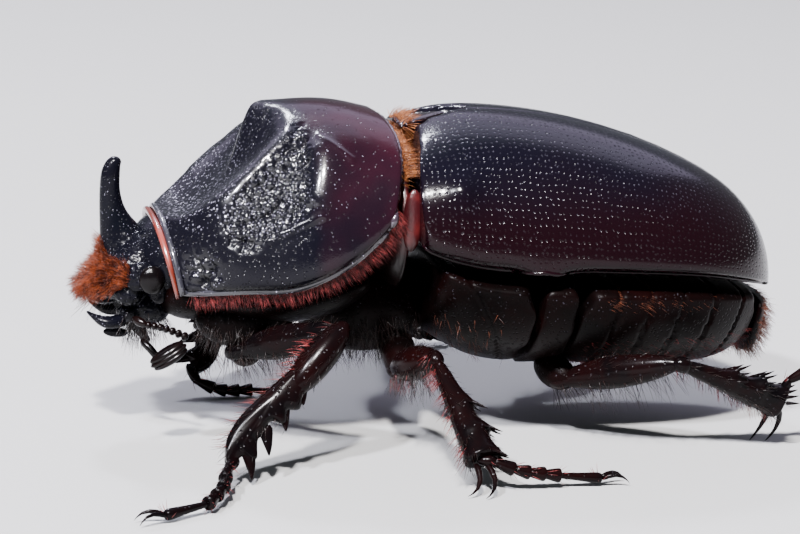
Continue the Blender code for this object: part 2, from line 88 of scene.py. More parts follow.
# %% [markdown]
# ## Working with one object at a time
#
# Blender's operators act on everything that is selected. The frame arrives selected, so
# these small helpers clear the selection, pick one object, and apply its modifiers. They are
# the steps one would click by hand, written down once.

# %% Selection, modifiers and finished pieces
def clear():
    if bpy.context.object and bpy.context.object.mode != "OBJECT":
        bpy.ops.object.mode_set(mode="OBJECT")
    bpy.ops.object.select_all(action="DESELECT")


def take(piece):
    clear()
    piece.select_set(True)
    bpy.context.view_layer.objects.active = piece


def edit(piece, kind="FACE"):
    take(piece)
    bpy.ops.object.mode_set(mode="EDIT")
    bpy.ops.mesh.select_mode(type=kind)
    bpy.ops.mesh.select_all(action="DESELECT")


def unselect(piece, kind="FACE"):
    """Leaves a mesh with nothing selected in it, ready for parts to be picked one by one."""
    edit(piece, kind)
    bpy.ops.object.mode_set(mode="OBJECT")


def modify(piece, kind, **settings):
    """Adds a modifier, sets it and applies it."""
    take(piece)
    modifier = piece.modifiers.new(kind.title(), kind)
    for key, value in settings.items():
        setattr(modifier, key, value)
    bpy.ops.object.modifier_apply(modifier=modifier.name)


def smooth(piece, levels=0):
    """Rounds a piece by subdivision, if asked to, and shades it smooth."""
    if levels:
        modify(piece, "SUBSURF", levels=levels, render_levels=levels)
    take(piece)
    bpy.ops.object.shade_smooth()


def close_up(piece):
    """Merges doubled points and turns every face outwards."""
    edit(piece)
    bpy.ops.mesh.select_all(action="SELECT")
    bpy.ops.mesh.remove_doubles(threshold=0.001 * MM)
    bpy.ops.mesh.normals_make_consistent(inside=False)
    bpy.ops.object.mode_set(mode="OBJECT")


def join(pieces, name):
    clear()
    for piece in pieces:
        piece.select_set(True)
    bpy.context.view_layer.objects.active = pieces[0]
    if len(pieces) > 1:
        bpy.ops.object.join()
    pieces[0].name = name
    pieces[0].data.name = name
    return pieces[0]


def settle(piece):
    """Puts the object's place into its mesh."""
    take(piece)
    bpy.ops.object.transform_apply(location=True, rotation=True, scale=True)
    return piece


def done(piece, look, slot, *nodes):
    """A finished piece: its material, its body and the solids it stands for; slot is not used."""
    piece.data.materials.clear()
    piece.data.materials.append(look.material)
    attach(piece, "root")
    if nodes:
        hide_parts(*nodes)


# %% [markdown]
# ## A finer copy of a solid
#
# The solids are coarse on purpose. A copy is merged, its triangles become quads again, and a
# Subdivision Surface rounds it. The copy keeps the place and the outline of the solid, and
# then carries the relief that the solid leaves out.

# %% Copy a solid finely
def fine_copy(node, levels=2, name=None):
    mesh = frame["nodes"][node].data.copy()
    piece = bpy.data.objects.new(name or node + "_shell", mesh)
    bpy.context.scene.collection.objects.link(piece)
    edit(piece)
    bpy.ops.mesh.select_all(action="SELECT")
    bpy.ops.mesh.remove_doubles(threshold=0.005 * MM)
    bpy.ops.mesh.tris_convert_to_quads(face_threshold=radians(50), shape_threshold=radians(60))
    bpy.ops.object.mode_set(mode="OBJECT")
    smooth(piece, levels)
    return piece


# %% [markdown]
# ## Looks written as sums
#
# A material is a graph of nodes. Drawing long sums with Math nodes is slow to read, so a
# small class holds one output of a node and lets Python's own signs add the Math nodes. One
# more method makes any other node from its type, its settings and its sockets.

# %% A wire and a look
class Wire:
    """One output of a node; sums of wires become Math nodes."""

    def __init__(self, look, socket):
        self.look, self.socket = look, socket

    def math(self, operation, *terms):
        return self.look.node("ShaderNodeMath", {"operation": operation}, dict(enumerate(terms)))

    def __add__(self, other):
        return self.math("ADD", self, other)

    def __sub__(self, other):
        return self.math("SUBTRACT", self, other)

    def __rsub__(self, other):
        return self.math("SUBTRACT", other, self)

    def __mul__(self, other):
        return self.math("MULTIPLY", self, other)

    __radd__ = __add__
    __rmul__ = __mul__

    def step(self, start, end):
        """0 below start, 1 above end, smooth between them."""
        return self.look.node("ShaderNodeMapRange", {"interpolation_type": "SMOOTHSTEP"},
                              {0: self, 1: start, 2: end})


# Painted glint: the bright colour given, with full metal, to the floors of chosen pits
PAINTED_GLINT_COLOUR = (0.50, 0.48, 0.62, 1)     # the colour that a mirror-bright pit gives back


class Look:
    """A material with one Principled shader."""

    def __init__(self, name, colour, roughness, **fixed):
        self.material = bpy.data.materials.new(name)
        self.material.use_nodes = True
        self.tree = self.material.node_tree
        self.shader = self.tree.nodes["Principled BSDF"]
        self.put("Base Color", (*colour, 1))
        self.put("Roughness", roughness)
        for name, value in fixed.items():
            self.put(name.replace("_", " "), value)

    def put(self, socket, value):
        """Sets or links a socket of the shader."""
        target = self.shader.inputs[socket]
        if isinstance(value, Wire):
            self.tree.links.new(value.socket, target)
        else:
            target.default_value = value

    def node(self, kind, settings=None, sockets=None, out=0):
        made = self.tree.nodes.new(kind)
        for key, value in (settings or {}).items():
            setattr(made, key, value)
        for key, value in (sockets or {}).items():
            target = made.inputs[key]
            if isinstance(value, Wire):
                self.tree.links.new(value.socket, target)
            else:
                target.default_value = value
        return Wire(self, made.outputs[out])

    def place(self):
        return self.node("ShaderNodeTexCoord", out="Object")

    def noise(self, size, detail=3.0):
        """Cloudy noise whose patches are about size millimetres across."""
        return self.node("ShaderNodeTexNoise", None,
                         {"Vector": self.place(), "Scale": MM_PER_METRE / size, "Detail": detail})

    def cells(self, size, spread=1.0):
        """Distance to the nearest of many scattered points, size millimetres apart."""
        return self.node("ShaderNodeTexVoronoi", None,
                         {"Vector": self.place(), "Scale": MM_PER_METRE / size, "Randomness": spread},
                         "Distance")

    def dots(self, size, share, rare=0.40):
        """Scattered dots, share of their spacing in radius; noise hides more of them as rare grows."""
        spots = 1 - self.cells(size).step(share * 0.4, share)
        return spots * self.noise(size * 1.7, 1.0).step(rare, rare + 0.22)

    def glints(self, amount, base):
        """Painted glints: mirror-bright metal pit floors where amount is above 0, over a base colour."""
        self.put("Metallic", amount)
        self.put("Base Color", self.mix(amount, base, PAINTED_GLINT_COLOUR))

    def along(self, axis):
        """The place along an axis in millimetres, counted from the base of the wing cases."""
        place = self.node("ShaderNodeSeparateXYZ", None, {0: self.place()}, axis)
        return place * MM_PER_METRE - ORIGIN[axis] * MM_PER_METRE

    def mix(self, share, first, second):
        """A blend of two colours."""
        return self.node("ShaderNodeMix", {"data_type": "RGBA"}, {0: share, 6: first, 7: second}, out=2)

    def bump(self, height, depth):
        """Relief of depth millimetres where height goes from 0 to 1."""
        self.put("Normal", self.node("ShaderNodeBump", None,
                                     {"Height": height, "Strength": 1.0, "Distance": depth * MM}))


# %% [markdown]
# ## The polished cuticle
#
# Beetle shell is layered like varnish: a dark, red-brown body under a clear, glossy skin.
# The Principled shader's coat is that clear skin. Fine pits, spread like pores, catch the
# light as sparkles; they come from a Voronoi pattern pressed in with a Bump node. Some pit
# floors are also painted bright and metallic, as painted glints. Broad clouds of noise vary
# the red and the roughness, since no real shell is one flat tone.

# %% Shell looks
def shell_look(name, dark, warm, roughness, gloss, coat, pit_size, pit_share, pit_depth, glint):
    look = Look(name, dark, roughness, Specular_IOR_Level=gloss, Coat_Weight=coat, Coat_Roughness=0.08)
    cloud = look.noise(4.5, 2.0)
    streak = look.noise(0.9, 4.0)
    tone = look.mix((cloud * 0.7 + streak * 0.4).step(0.35, 0.8), (*dark, 1), (*warm, 1))
    # Painted glints: scattered pit floors turn bright and metallic, as much as glint asks.
    look.glints(look.dots(pit_size, 0.18) * glint, tone)
    pits = 1 - look.cells(pit_size).step(0.06, pit_share)
    grain = look.noise(0.09, 2.0)
    look.put("Roughness", roughness + pits * 0.15 + streak * 0.12 - 0.06)
    look.bump(grain * 0.10 - pits, pit_depth)
    return look


cuticle = shell_look("polished_cuticle", (0.0016, 0.0012, 0.0022), (0.0056, 0.0016, 0.0026), 0.20, 0.32, 0.12,
                     0.30, 0.30, 0.035, 0.20)
horn_shell = shell_look("horn_cuticle", (0.0012, 0.0014, 0.0028), (0.0018, 0.0016, 0.0030), 0.24, 0.085, 0.02,
                        0.19, 0.36, 0.04, 0.36)
belly_shell = shell_look("belly_cuticle", (0.0008, 0.0005, 0.0005), (0.0026, 0.0005, 0.0005), 0.36, 0.035,
                         0.0, 0.26, 0.36, 0.03, 0.05)
leg_shell = shell_look("leg_cuticle", (0.0009, 0.0007, 0.0009), (0.0036, 0.0007, 0.0007), 0.21, 0.065, 0.015,
                       0.34, 0.30, 0.03, 0.025)
feeler_shell = shell_look("feeler_cuticle", (0.0010, 0.0007, 0.0008), (0.0036, 0.0011, 0.0010), 0.20, 0.14,
                          0.05, 0.40, 0.22, 0.012, 0.05)
eye_gloss = Look("eye_gloss", (0.0015, 0.0010, 0.0012), 0.16, Specular_IOR_Level=0.12, Coat_Weight=0.05,
                 Coat_Roughness=0.04)
eye_gloss.bump(eye_gloss.cells(0.045, spread=0.25) * -1.0, 0.006)
skin = Look("joint_skin", (0.10, 0.010, 0.008), 0.34, Specular_IOR_Level=0.3, Coat_Weight=0.15,
            Coat_Roughness=0.15)
blush = skin.mix(skin.noise(1.4, 3.0).step(0.35, 0.7), (0.020, 0.002, 0.003, 1), (0.060, 0.006, 0.006, 1))
skin.put("Base Color", skin.mix(skin.along(2).step(10.8, 13.4), (0.0030, 0.0007, 0.0007, 1), blush))
skin.bump(skin.noise(0.25, 3.0), 0.03)
lip_skin = Look("lip_skin", (0.40, 0.09, 0.05), 0.26, Coat_Weight=0.7, Coat_Roughness=0.16)
# Painted highlight: a paler band across the middle of the lip's height.
lip_painted_highlight = lip_skin.along(2).step(10.4, 11.6) * (1 - lip_skin.along(2).step(12.4, 13.4))
lip_skin.put("Base Color", lip_skin.mix(lip_painted_highlight, (0.07, 0.008, 0.003, 1), (0.14, 0.026, 0.020, 1)))
lip_skin.bump(lip_skin.noise(0.30, 2.0), 0.02)
print("shell looks made")

# %% [markdown]
# ## The looks of the shield and the wing cases
#
# The wing cases are darkest on the back and glow red-brown to purple down the sides. Their
# pits stand in long rows from the base to the tip, so the pattern follows a map of its own
# and not the room: the map's first number runs along the case and its second across the rows.
#
# The shield is finely pored in front, where soil rubs it, and nearly smooth on its dome. An
# attribute of the mesh is 1 on its pebbled and rolled places and 1.5 on its beads. The clear
# coat is thick there and the polish a little duller, so they catch the light widely, and
# painted glints, bright metallic dots, are strewn over them. Painted glints also stand thick
# in the hollow in front and sparse on the dome.

# %% Rows of pits
def pit_rows(look, threshold):
    """Pits on the rows map: 1 in a pit's middle, less in every second row, and 0 between pits."""
    rows = look.node("ShaderNodeUVMap", {"uv_map": "rows"})
    dots = look.node("ShaderNodeTexVoronoi", {"voronoi_dimensions": "2D"},
                     {"Vector": rows, "Scale": 1.0, "Randomness": 0.45}, "Distance")
    row = look.node("ShaderNodeSeparateXYZ", None, {0: rows}, 1)
    deep = look.node("ShaderNodeMath", {"operation": "PINGPONG"}, {0: row + 0.5, 1: 1.0})
    return (1 - dots.step(0.05, threshold)) * (deep * 0.75 + 0.25)


# %% Shield look
shield_shell = Look("shield_cuticle", (0.003, 0.002, 0.003), 0.20, Specular_IOR_Level=0.15, Coat_Weight=0.06,
                    Coat_Roughness=0.08)
cloud = shield_shell.noise(5.0, 2.0)
front = 1 - shield_shell.along(0).step(-7.6, -4.6)
tone = shield_shell.mix((cloud * 0.9 - front * 0.45).step(0.2, 0.75), (0.0016, 0.0014, 0.0030, 1),
                        (0.0140, 0.0022, 0.0052, 1))
pores = (1 - shield_shell.cells(0.25).step(0.06, 0.34)) * (front * 0.95 + 0.03)
pits = 1 - shield_shell.cells(0.36).step(0.05, 0.24)
wave = shield_shell.noise(0.7, 2.0)
# The mesh's attribute marks pebbles, rolls and beads: thicker coat, duller polish and painted glints there.
coat_and_glint = shield_shell.node("ShaderNodeAttribute", {"attribute_name": "coat_and_glint"}, out=2)
shield_shell.put("Roughness", 0.13 + front * 0.12 - pores * 0.10 + wave * 0.05 + coat_and_glint * 0.08)
shield_shell.put("Coat Weight", coat_and_glint * 0.68 + 0.06 - front * 0.05)
top = shield_shell.along(2).step(12.5, 18.0)
low_front = 1 - shield_shell.along(0).step(-12.6, -8.2)
scoop = front * shield_shell.along(2).step(12.7, 13.5) * (1 - shield_shell.along(2).step(14.5, 18.5) * 0.8)
# Painted glints: metal dots, thick low in the hollow, sparse on the dome, on the pebbles and faint on the
# beads.
shine = shield_shell.dots(0.22, 0.36, 0.34) * scoop * (low_front * 0.42 + 0.16)
shine += shield_shell.dots(0.36, 0.13) * (top * 0.22 + 0.08)
bead_shine = (coat_and_glint - 1).step(0.0, 0.4) * 0.02
shield_shell.glints(shine + shield_shell.dots(0.24, 0.22) * coat_and_glint * 0.8 + bead_shine, tone)
shield_shell.bump(shield_shell.noise(0.10, 2.0) * 0.10 + wave * 0.35 - pores * 0.8 - pits, 0.046)
print("shield look made")

# %% Wing case look
wing_shell = Look("wing_case_cuticle", (0.003, 0.002, 0.003), 0.20, Specular_IOR_Level=0.12, Coat_Weight=0.06,
                  Coat_Roughness=0.08)
cloud = wing_shell.noise(5.5, 2.0)
flank = 1 - wing_shell.along(2).step(12.0, 18.5)
tone = wing_shell.mix((flank * 0.75 + cloud * 0.5).step(0.25, 0.95), (0.0015, 0.0012, 0.0030, 1),
                      (0.0031, 0.0006, 0.0013, 1))
pits = pit_rows(wing_shell, 0.27)
stray = (1 - wing_shell.cells(0.30).step(0.05, 0.26)) * wing_shell.noise(2.5, 1.0).step(0.45, 0.6)
# Painted glints in the pits and stray dots, a little more of them higher up the case.
glitter = wing_shell.noise(0.55, 1.0).step(0.40, 0.62) * (wing_shell.along(2).step(11.5, 16.5) * 0.08 + 0.015)
wing_shell.glints((pit_rows(wing_shell, 0.12) + stray * 0.3) * glitter, tone)
wing_shell.put("Roughness", 0.13 + (pits + stray) * 0.10 + cloud * 0.06)
wing_shell.bump(wing_shell.noise(0.10, 3.0) * 0.12 - pits - stray * 0.6, 0.035)
print("wing case look made")

# %% [markdown]
# ## Painting where relief goes
#
# A Displace modifier pushes a surface along its normals. A vertex group says how strongly
# at each point, the way a painted mask would. The masks here follow places on the animal,
# written as a function of millimetres, so they stay the same on both sides of the body.

# %% Masks and relief
FAINTEST = 0.004     # weights below this are left out


def rise(value, start, end):
    """0 before start, 1 after end, smooth between them."""
    share = min(max((value - start) / (end - start), 0.0), 1.0)
    return share * share * (3 - 2 * share)


def hill(value, middle, reach):
    """1 at the middle, fading out on both sides."""
    return exp(-((value - middle) / reach) ** 2)


def ridge(x, z, start, end, width):
    """1 on the line from start to end in side view, fading out over width."""
    line = Vector((end[0] - start[0], end[1] - start[1]))
    gap = Vector((x - start[0], z - start[1]))
    share = min(max(gap.dot(line) / line.length_squared, 0.0), 1.0)
    return exp(-((gap - line * share).length / width) ** 2)


def mask(piece, name, function):
    """A vertex group with the function's value at each point, given in millimetres."""
    group = piece.vertex_groups.new(name=name)
    for point in piece.data.vertices:
        x, y, z = (point.co - ORIGIN) / MM
        weight = function(x, y, z)
        if weight > FAINTEST:
            group.add([point.index], min(weight, 1.0), "REPLACE")


def pattern(name, kind, size, **settings):
    """A texture for relief, with details about size millimetres across."""
    texture = bpy.data.textures.new(name, kind)
    texture.noise_scale = size * MM
    for key, value in settings.items():
        setattr(texture, key, value)
    return texture


def paint(piece, name, function):
    """An attribute of the mesh with the function's value at each point."""
    layer = piece.data.attributes.new(name, "FLOAT", "POINT")
    for point in piece.data.vertices:
        layer.data[point.index].value = function(*((point.co - ORIGIN) / MM))


def relief(piece, group, depth, texture=None, level=0.5):
    """Pushes the surface out by depth millimetres where the group is 1."""
    settings = {"strength": depth * MM, "mid_level": level, "vertex_group": group, "direction": "NORMAL"}
    if texture:
        settings.update(texture=texture, texture_coords="LOCAL")
    modify(piece, "DISPLACE", **settings)


# %% [markdown]
# ## A bead along a sharp edge
#
# Shell plates end in a thin, round bead. The sharp edges of the coarse cage are first kept as
# a vertex group. Once the shell is smooth, that loop is copied out, turned into a curve with
# a round profile, and made a mesh again, so the bead follows the shell exactly.

# %% Beads along sharp edges
SHORTEST = 8     # points in the shortest stretch of rim that gets a bead


def sharp_edges(piece, angle, keep):
    """A vertex group named rim along the cage's sharp edges whose points keep() accepts."""
    edit(piece, "EDGE")
    bpy.ops.mesh.edges_select_sharp(sharpness=radians(angle))
    bpy.ops.object.mode_set(mode="OBJECT")
    group = piece.vertex_groups.new(name="rim")
    for edge in piece.data.edges:
        if edge.select:
            ends = [(piece.data.vertices[i].co - ORIGIN) / MM for i in edge.vertices]
            if all(keep(*end) for end in ends):
                group.add(list(edge.vertices), 1.0, "REPLACE")


def bead(piece, radius, name):
    """A round bead along the rim group of a smooth shell: the loop is copied and thickened."""
    unselect(piece, "EDGE")
    index = piece.vertex_groups["rim"].index
    on_rim = [any(g.group == index and g.weight > 0.999 for g in v.groups) for v in piece.data.vertices]
    for edge in piece.data.edges:
        edge.select = all(on_rim[i] for i in edge.vertices)
    bpy.ops.object.mode_set(mode="EDIT")
    bpy.ops.mesh.duplicate()
    bpy.ops.mesh.separate(type="SELECTED")
    bpy.ops.object.mode_set(mode="OBJECT")
    loop = next(o for o in bpy.context.selected_objects if o is not piece)
    take(loop)
    loop.name = name
    loop.vertex_groups.clear()
    bpy.ops.object.convert(target="CURVE")
    for spline in list(loop.data.splines):
        if len(spline.points) < SHORTEST:
            loop.data.splines.remove(spline)
    loop.data.bevel_depth = radius * MM
    loop.data.bevel_resolution = 2
    loop.data.use_fill_caps = True
    bpy.ops.object.convert(target="MESH")
    close_up(loop)
    bpy.ops.object.shade_smooth()
    return loop


# %% [markdown]
# ## Scattered places, long rolls and outlines
#
# Hair grows from random places on a skin, chosen by the area of its faces so that it stands
# evenly. A bead or a lip is a long, even roll. It is quickest as a curve with a round profile,
# which is then turned into a mesh. Where such a roll spans the body, its route is an arch
# worked out from its foot, its top and its roundness.

# %% Random places on a skin
def scatter(piece, count, keep, seed):
    """Random places, with their normals, on the faces that keep() accepts."""
    dice = random.Random(seed)
    piece.data.calc_loop_triangles()
    points = piece.data.vertices
    chosen, sizes = [], []
    for tri in piece.data.loop_triangles:
        a, b, c = (points[i].co for i in tri.vertices)
        if keep(((a + b + c) / 3 - ORIGIN) / MM, tri.normal):
            chosen.append((a, b, c, tri.normal))
            sizes.append(tri.area)
    places = []
    for a, b, c, normal in dice.choices(chosen, sizes, k=count if chosen else 0):
        u, v = sorted((dice.random(), dice.random()))
        places.append((a * u + b * (v - u) + c * (1 - v), normal.copy()))
    return places


# %% A roll along a curve
def arch(foot, top, roundness, steps):
    """Places over the body from the left foot to the right one; 2 is an ellipse, more is fuller."""
    places = []
    for k in range(-steps, steps + 1):
        turn = pi / 2 * (1 - abs(k) / steps)
        up = sin(turn) ** (2 / roundness)
        out = cos(turn) ** (2 / roundness)
        x = foot[0] + (top[0] - foot[0]) * up
        z = foot[2] + (top[2] - foot[2]) * up
        places.append((x, foot[1] * (out if k > 0 else -out), z))
    return places


def cord_along(name, places, radius, ends=1.0):
    """A curve through places with a round profile, thinner at its ends, made a mesh."""
    clear()
    bpy.ops.curve.primitive_nurbs_path_add(location=(0, 0, 0))
    piece = bpy.context.object
    piece.name = name
    path = piece.data
    path.splines.clear()
    spline = path.splines.new("NURBS")
    spline.points.add(len(places) - 1)
    for i, place in enumerate(places):
        spline.points[i].co = (*at(*place), 1)
        share = abs(2 * i / (len(places) - 1) - 1)
        spline.points[i].radius = 1 + (ends - 1) * share ** 3
    spline.order_u = 4
    spline.use_endpoint_u = True
    spline.resolution_u = 6
    path.bevel_depth = radius * MM
    path.bevel_resolution = 3
    path.use_fill_caps = True
    bpy.ops.object.convert(target="MESH")
    close_up(piece)
    bpy.ops.object.shade_smooth()
    return piece


# %% [markdown]
# ## The pronotum
#
# The pronotum is the large shield behind the head. Its front is scooped into a hollow with a
# small knob above it. Beside the hollow lies a planed facet, covered in pebbles like hammered
# metal, with a smooth roll along its upper edge and a bulge and a fold behind it. A thin bead
# arches over the head and a thicker one runs along the sides and the back.
#
# The shape comes from the solid. The facet is first planed a little lower than the shell
# round it, which leaves a crisp ridge, and then a cell pattern raises the pebbles. The mesh
# is made finer only there, so the pebbles are real and the rest stays light.

# %% The facet and the forms round it
# The facet's outline in side view: its upper edge, its rounded lower front and its back edge.
FACET = [(-5.8, 19.0), (-6.45, 18.1), (-7.5, 17.3), (-8.8, 15.9), (-10.15, 14.6), (-10.5, 14.0),
         (-10.5, 13.1), (-10.2, 12.4), (-9.5, 12.05), (-8.6, 12.2), (-6.65, 13.8), (-5.5, 14.6),
         (-5.5, 15.9), (-5.25, 18.0), (-5.45, 18.9)]


def inside(outline, x, z):
    """How far (x, z) lies inside the outline, in millimetres; negative outside."""
    spot, nearest, odd = Vector((x, z)), 99.0, False
    for start, end in zip(outline, outline[1:] + outline[:1]):
        line, gap = Vector(end) - Vector(start), spot - Vector(start)
        share = min(max(gap.dot(line) / line.length_squared, 0.0), 1.0)
        nearest = min(nearest, (gap - line * share).length)
        crosses = (start[1] > z) != (end[1] > z)
        if crosses and x < start[0] + (z - start[1]) / (end[1] - start[1]) * line.x:
            odd = not odd
    return nearest if odd else -nearest


def facet(x, y, z):
    """The planed side of the shield; its edge is a little ragged."""
    if not (-11.5 < x < -4.0 and 11.5 < z < 20.0 and abs(y) > 2.6):
        return 0.0
    ragged = 0.16 * noise.noise(Vector((x, y, z)) * 1.7)
    return rise(inside(FACET, x, z) + ragged, -0.20, 0.50) * rise(abs(y), 2.6, 3.8)


def front_scales(x, y, z):
    """The small scales at the shield's front corner."""
    return hill(x, -11.55, 0.9) * hill(z + 0.15 * (x + 11.5), 10.75, 1.0) * rise(abs(y), 4.2, 5.0)


def bulge(x, y, z):
    """The swelling behind the facet."""
    return ridge(x, z, (-4.73, 17.5), (-5.15, 15.4), 0.85) * rise(abs(y), 4.0, 6.0)


def brow(x, y, z):
    """The smooth roll along the facet's upper edge."""
    upper = ridge(x, z, (-6.5, 18.45), (-8.0, 17.15), 0.30)
    lower = ridge(x, z, (-8.0, 17.15), (-10.5, 14.75), 0.30)
    return max(upper, lower) * rise(abs(y), 3.0, 4.5)


def crease(x, y, z):
    """The fold behind the bulge."""
    return ridge(x, z, (-4.7, 18.35), (-3.1, 17.35), 0.17) * rise(abs(y), 4.0, 5.0)


def sill(x, y, z):
    """The low roll under the facet."""
    return ridge(x, z, (-8.3, 12.75), (-5.1, 14.3), 0.26) * rise(abs(y), 4.0, 6.0)


# Where the shield gets a thicker coat, a duller polish and painted glints.
def coat_and_glint_places(x, y, z):
    return max(facet(x, y, z), front_scales(x, y, z), bulge(x, y, z), brow(x, y, z))


print("facet outline:", len(FACET), "points")

# %% Shape the pronotum
pronotum = fine_copy("pronotum", 0, "pronotum_shield")
sharp_edges(pronotum, 42, lambda x, y, z: x > -12.6 and (z < 11.5 + 0.02 * x or x > -1.4 or abs(y) > 7.9))
smooth(pronotum, 3)
rim = bead(pronotum, 0.25, "pronotum_bead")
front = cord_along("front_bead", arch((-12.55, 5.4, 9.2), (-13.44, 0, 13.32), 2.25, 9), 0.19)
fringe_roots = scatter(rim, 4200, lambda p, normal: (
    normal.z < 0.15 and p.z < 14.6 and p.x > -12.0 and abs(p.y) > 3), 21)
modify(pronotum, "REMESH", mode="VOXEL", voxel_size=0.12 * MM)
modify(pronotum, "SMOOTH", factor=0.5, iterations=8)
unselect(pronotum)
for face in pronotum.data.polygons:
    place = (face.center - ORIGIN) / MM
    face.select = facet(*place) > 0.05 or front_scales(*place) > 0.35
bpy.ops.object.mode_set(mode="EDIT")
bpy.ops.mesh.subdivide(number_cuts=1, smoothness=0.0)
bpy.ops.object.mode_set(mode="OBJECT")
FORMS = {"facet": facet, "scales": front_scales, "bulge": bulge, "crease": crease, "sill": sill, "brow": brow}
for name, form in FORMS.items():
    mask(pronotum, name, form)
for name, height in (("facet", -0.09), ("bulge", 0.42), ("crease", 0.10), ("sill", 0.12), ("brow", 0.10)):
    relief(pronotum, name, height, level=0.0)
# Squared distances to scattered points give round pebbles with sharp valleys between them.
pebbles = pattern("pebbles", "VORONOI", 0.47, distance_metric="DISTANCE_SQUARED", noise_intensity=2.5)
relief(pronotum, "facet", -0.22, pebbles, 0.25)
tilts = pattern("tilts", "CLOUDS", 0.35)
relief(pronotum, "facet", 0.12, tilts)
modify(pronotum, "SMOOTH", factor=0.5, iterations=2, vertex_group="facet")
scales = pattern("scales", "VORONOI", 0.60, distance_metric="DISTANCE_SQUARED", noise_intensity=2.5)
relief(pronotum, "scales", -0.36, scales, 0.25)
# The marks for a thicker coat and painted glints; the beads get the most.
paint(pronotum, "coat_and_glint", coat_and_glint_places)
for roll in (rim, front):
    paint(roll, "coat_and_glint", lambda x, y, z: 1.5)
pronotum = join([pronotum, rim, front], "pronotum_shield")
smooth(pronotum)
done(pronotum, shield_shell, "cuticle", "pronotum")
print("pronotum faces:", len(pronotum.data.polygons))


# %% [markdown]
# ## The wing cases
#
# A beetle's hard fore wings, the elytra, close over its back and meet in a straight seam.
# Each has a shoulder bump, a fine groove beside the seam, and a thin bead along its outer
# edge. The groove is cut as one would by hand: three bisect cuts side by side, and the
# middle loop is then pressed in.

# %% Grooves cut with bisect
def groove(piece, place, normal, width, depth):
    """Three parallel cuts; the middle one is pressed into the surface."""
    for offset in (-width / 2, width / 2, 0.0):
        edit(piece, "VERT")
        bpy.ops.mesh.select_all(action="SELECT")
        bpy.ops.mesh.bisect(plane_co=at(*place) + Vector(normal) * (offset * MM), plane_no=normal,
                            use_fill=False, clear_inner=False, clear_outer=False)
    bpy.ops.transform.shrink_fatten(value=-depth * MM)
    bpy.ops.object.mode_set(mode="OBJECT")


# %% Shape the wing cases
ROW_PITCH = 0.40     # millimetres between two rows of pits
PIT_PITCH = 0.36     # millimetres between two pits of a row
GIRTH = 13.5         # millimetres round a case, from its outer edge to the seam
SEAM_REACH = 0.35    # points nearer the midline than this belong to the seam


def row_map(piece, side):
    """A map whose rows run along the case, evenly spread from the outer edge to the seam."""
    slices = {}
    points = [(v.co - ORIGIN) / MM for v in piece.data.vertices]
    for x, y, z in points:     # half a millimetre to a slice: its width, its lowest and its highest point
        width, base, top = slices.get(round(x * 2), (0.0, 99.0, 0.0))
        slices[round(x * 2)] = max(width, y * side), min(base, z), max(top, z)
    around = []
    for x, y, z in points:
        width, base, top = slices[round(x * 2)]
        around.append(atan2(max(y * side, 0) / max(width, 0.1), (z - base) / max(top - base, 0.1)))
    layer = piece.data.uv_layers.new(name="rows")
    for loop in piece.data.loops:
        i = loop.vertex_index
        layer.data[loop.index].uv = (points[i][0] / PIT_PITCH, around[i] / (pi / 2) * GIRTH / ROW_PITCH)


for word, side in SIDES:
    case = fine_copy("elytron_" + word, 0, "wing_case_" + word)
    seam = [v.index for v in case.data.vertices if abs((v.co.y - ORIGIN.y) / MM) < SEAM_REACH]
    unselect(case, "VERT")
    for i in seam:
        case.data.vertices[i].select = True
        case.data.vertices[i].co.y = ORIGIN.y + 0.03 * MM * side
    bpy.ops.object.mode_set(mode="EDIT")
    bpy.ops.transform.edge_crease(value=1.0)
    bpy.ops.object.mode_set(mode="OBJECT")
    sharp_edges(case, 50, lambda x, y, z: abs(y) > 2.0 and z < 13.6 and 0.0 < x)
    smooth(case, 3)
    edge = bead(case, 0.13, "wing_bead_" + word)
    mask(case, "shoulder", lambda x, y, z: hill(x, 3.2, 0.8) * hill(abs(y), 8.4, 1.0) * hill(z, 15.8, 1.1))
    relief(case, "shoulder", 0.38, level=0.0)
    groove(case, (0, 0.95 * side, 0), (0, 1, 0), 0.24, 0.06)
    row_map(case, side)
    case = join([case, edge], "wing_case_" + word)
    smooth(case)
    done(case, wing_shell, "wing_case", "elytron_" + word)
    print(case.name, "faces:", len(case.data.polygons))

# %% [markdown]
# ## The small shield and the joint
#
# Between the bases of the wing cases sits the scutellum, a small polished triangle. In
# front of it the joint shows as a soft, dark red band, half hidden by golden hair. A rounded
# plate lies over it on each side.
#
# Many small forms from here on are eggs: a sphere, stretched and turned, is quickly placed
# and joins well with its neighbours.

# %% Small bodies to build with
def ball(name, place, radii, direction=(0, 0, 1), segments=20, rings=12):
    """An egg: a sphere stretched in edit mode, its own Z then turned toward direction."""
    clear()
    bpy.ops.mesh.primitive_uv_sphere_add(segments=segments, ring_count=rings, radius=MM,
                                         location=at(*place))
    piece = bpy.context.object
    piece.name = name
    bpy.ops.object.mode_set(mode="EDIT")
    bpy.ops.mesh.select_all(action="SELECT")
    bpy.ops.transform.resize(value=radii, center_override=at(*place))
    bpy.ops.object.mode_set(mode="OBJECT")
    bpy.ops.object.shade_smooth()
    if direction:
        piece.rotation_euler = Vector(direction).to_track_quat("Z", "Y").to_euler()
        settle(piece)
    return piece


